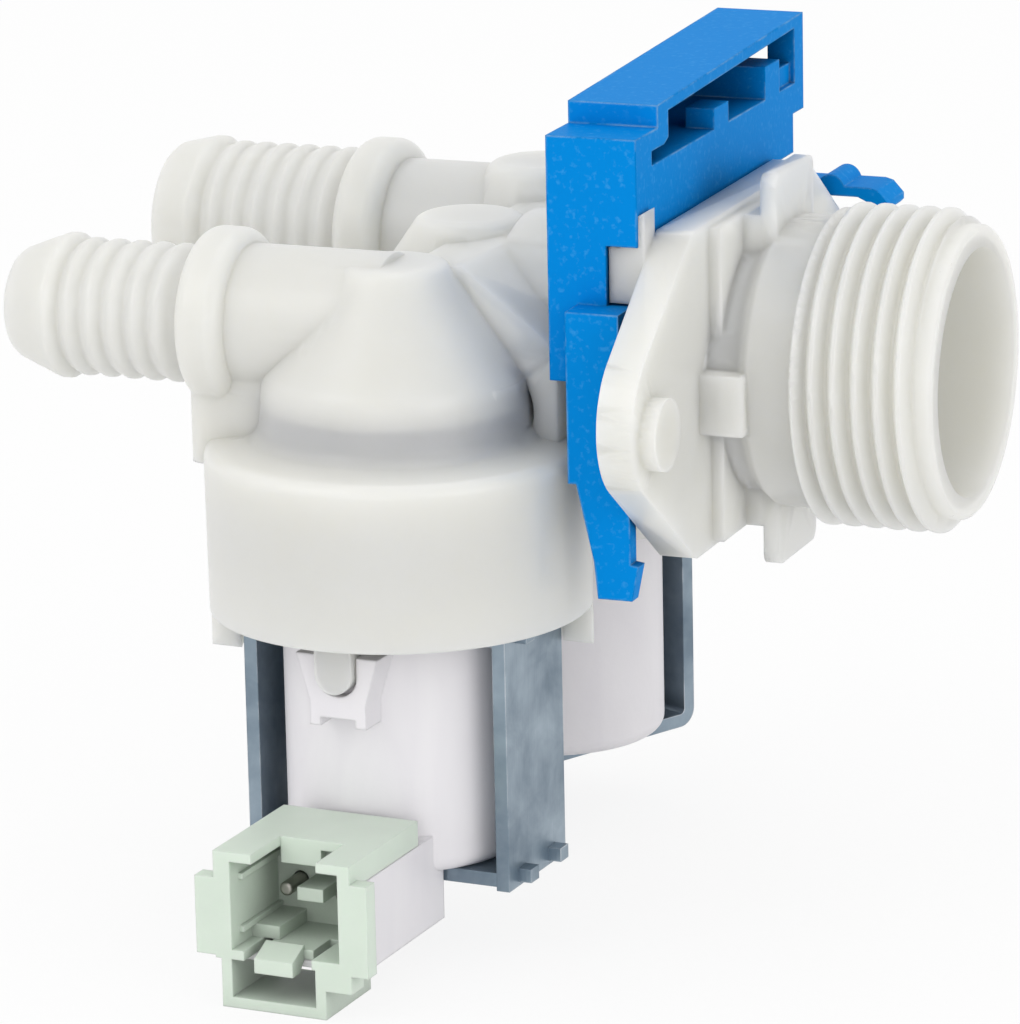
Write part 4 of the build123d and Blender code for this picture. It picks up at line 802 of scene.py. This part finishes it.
class BuildStage(bpy.types.Operator):
    """Makes the pale floor, the white room, four soft lamps and the camera"""

    bl_idname = "inlet_valve.build_stage"
    bl_label = "Studio and camera"

    def execute(self, context):
        scene = context.scene
        colours, light = scene.valve_colours, scene.studio_light
        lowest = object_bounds()[0].z
        floor = placed("floor", floor_disc(lowest, 6.0))
        material, tree, _ = finish_named("floor_paper")
        pale = add(tree, "ShaderNodeBsdfDiffuse", {"Color": rgba(colours.floor)})
        white = add(tree, "ShaderNodeEmission", {"Color": (1, 1, 1, 1), "Strength": 1.0})
        close_finish(tree, add(tree, "ShaderNodeMixShader", {
            0: white_when_seen(tree, 0.86), 1: pale.outputs[0], 2: white.outputs[0]}).outputs[0])
        floor.data.materials.append(material)
        floor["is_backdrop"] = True
        world = bpy.data.worlds.new("white_room")
        scene.world = world
        world.use_nodes = True
        world.node_tree.nodes.clear()
        tree = world.node_tree
        dim = add(tree, "ShaderNodeBackground", {"Color": (1, 1, 1, 1),
                                                 "Strength": light.surroundings})
        white = add(tree, "ShaderNodeBackground", {"Color": (1, 1, 1, 1), "Strength": 1.0})
        mixed = add(tree, "ShaderNodeMixShader", {
            0: white_when_seen(tree, 1.0), 1: dim.outputs[0], 2: white.outputs[0]})
        add(tree, "ShaderNodeOutputWorld", {"Surface": mixed.outputs[0]})
        centre = (-0.03, 0.0, -0.01)
        lamp("key_lamp", light.key, 0.5, (-0.45, -0.6, 0.55), centre)
        lamp("fill_lamp", light.fill, 0.5, (0.7, -0.4, 0.25), centre)
        lamp("front_lamp", light.front, 0.5, (0.0, -0.75, -0.02), centre)
        lamp("top_lamp", light.top, 0.6, (0.0, 0.2, 0.8), centre)
        right = Vector((math.cos(CAMERA_ACROSS), math.sin(CAMERA_ACROSS), 0))
        level = math.cos(CAMERA_RISE)
        back = Vector((math.sin(CAMERA_ACROSS) * level, -math.cos(CAMERA_ACROSS) * level,
                       math.sin(CAMERA_RISE)))
        up = back.cross(right)
        cosine, sine = math.cos(CAMERA_ROLL), math.sin(CAMERA_ROLL)
        right, up = cosine * right + sine * up, cosine * up - sine * right
        camera = bpy.data.cameras.new("camera")
        camera.lens = FOCAL_LENGTH
        camera.sensor_width = SENSOR_WIDTH
        camera.clip_start = 0.02
        camera.clip_end = 20.0
        holder = bpy.data.objects.new("camera", camera)
        axes = Matrix((right, up, back)).transposed().to_4x4()
        axes.translation = Vector(CAMERA_PLACE)
        holder.matrix_world = axes
        scene.collection.objects.link(holder)
        scene.camera = holder
        scene.view_settings.view_transform = "Standard"
        return {"FINISHED"}


STEPS = (DressBody, DressClip, DressCoils, DressConnectors, DressYokes, DressWorks, BuildStage)


class InletValvePanel(bpy.types.Panel):
    """Lists the steps, sizes and colours of the inlet valve"""

    bl_idname = "VIEW3D_PT_inlet_valve"
    bl_label = "Inlet valve"
    bl_space_type = "VIEW_3D"
    bl_region_type = "UI"
    bl_category = "Inlet valve"

    def draw(self, context):
        column = self.layout.column()
        for step in STEPS:
            column.operator(step.bl_idname)
        for group in (context.scene.valve_sizes, context.scene.valve_colours,
                      context.scene.studio_light):
            box = self.layout.box()
            for name in group.__annotations__:
                box.prop(group, name)


CLASSES = (ValveSizes, ValveColours, StudioLight, *STEPS, InletValvePanel)


def register():
    """Adds the classes and the scene's three property groups."""
    for each in CLASSES:
        bpy.utils.register_class(each)
    bpy.types.Scene.valve_sizes = PointerProperty(type=ValveSizes)
    bpy.types.Scene.valve_colours = PointerProperty(type=ValveColours)
    bpy.types.Scene.studio_light = PointerProperty(type=StudioLight)


def unregister():
    """Takes away what register added."""
    del bpy.types.Scene.studio_light
    del bpy.types.Scene.valve_colours
    del bpy.types.Scene.valve_sizes
    for each in reversed(CLASSES):
        bpy.utils.unregister_class(each)


def main():
    """Runs the steps in order."""
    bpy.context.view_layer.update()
    register()
    bpy.ops.inlet_valve.dress_body()
    bpy.ops.inlet_valve.dress_clip()
    bpy.ops.inlet_valve.dress_coils()
    bpy.ops.inlet_valve.dress_connectors()
    bpy.ops.inlet_valve.dress_yokes()
    bpy.ops.inlet_valve.dress_works()
    bpy.ops.inlet_valve.build_stage()


if __name__ == "__main__":
    main()
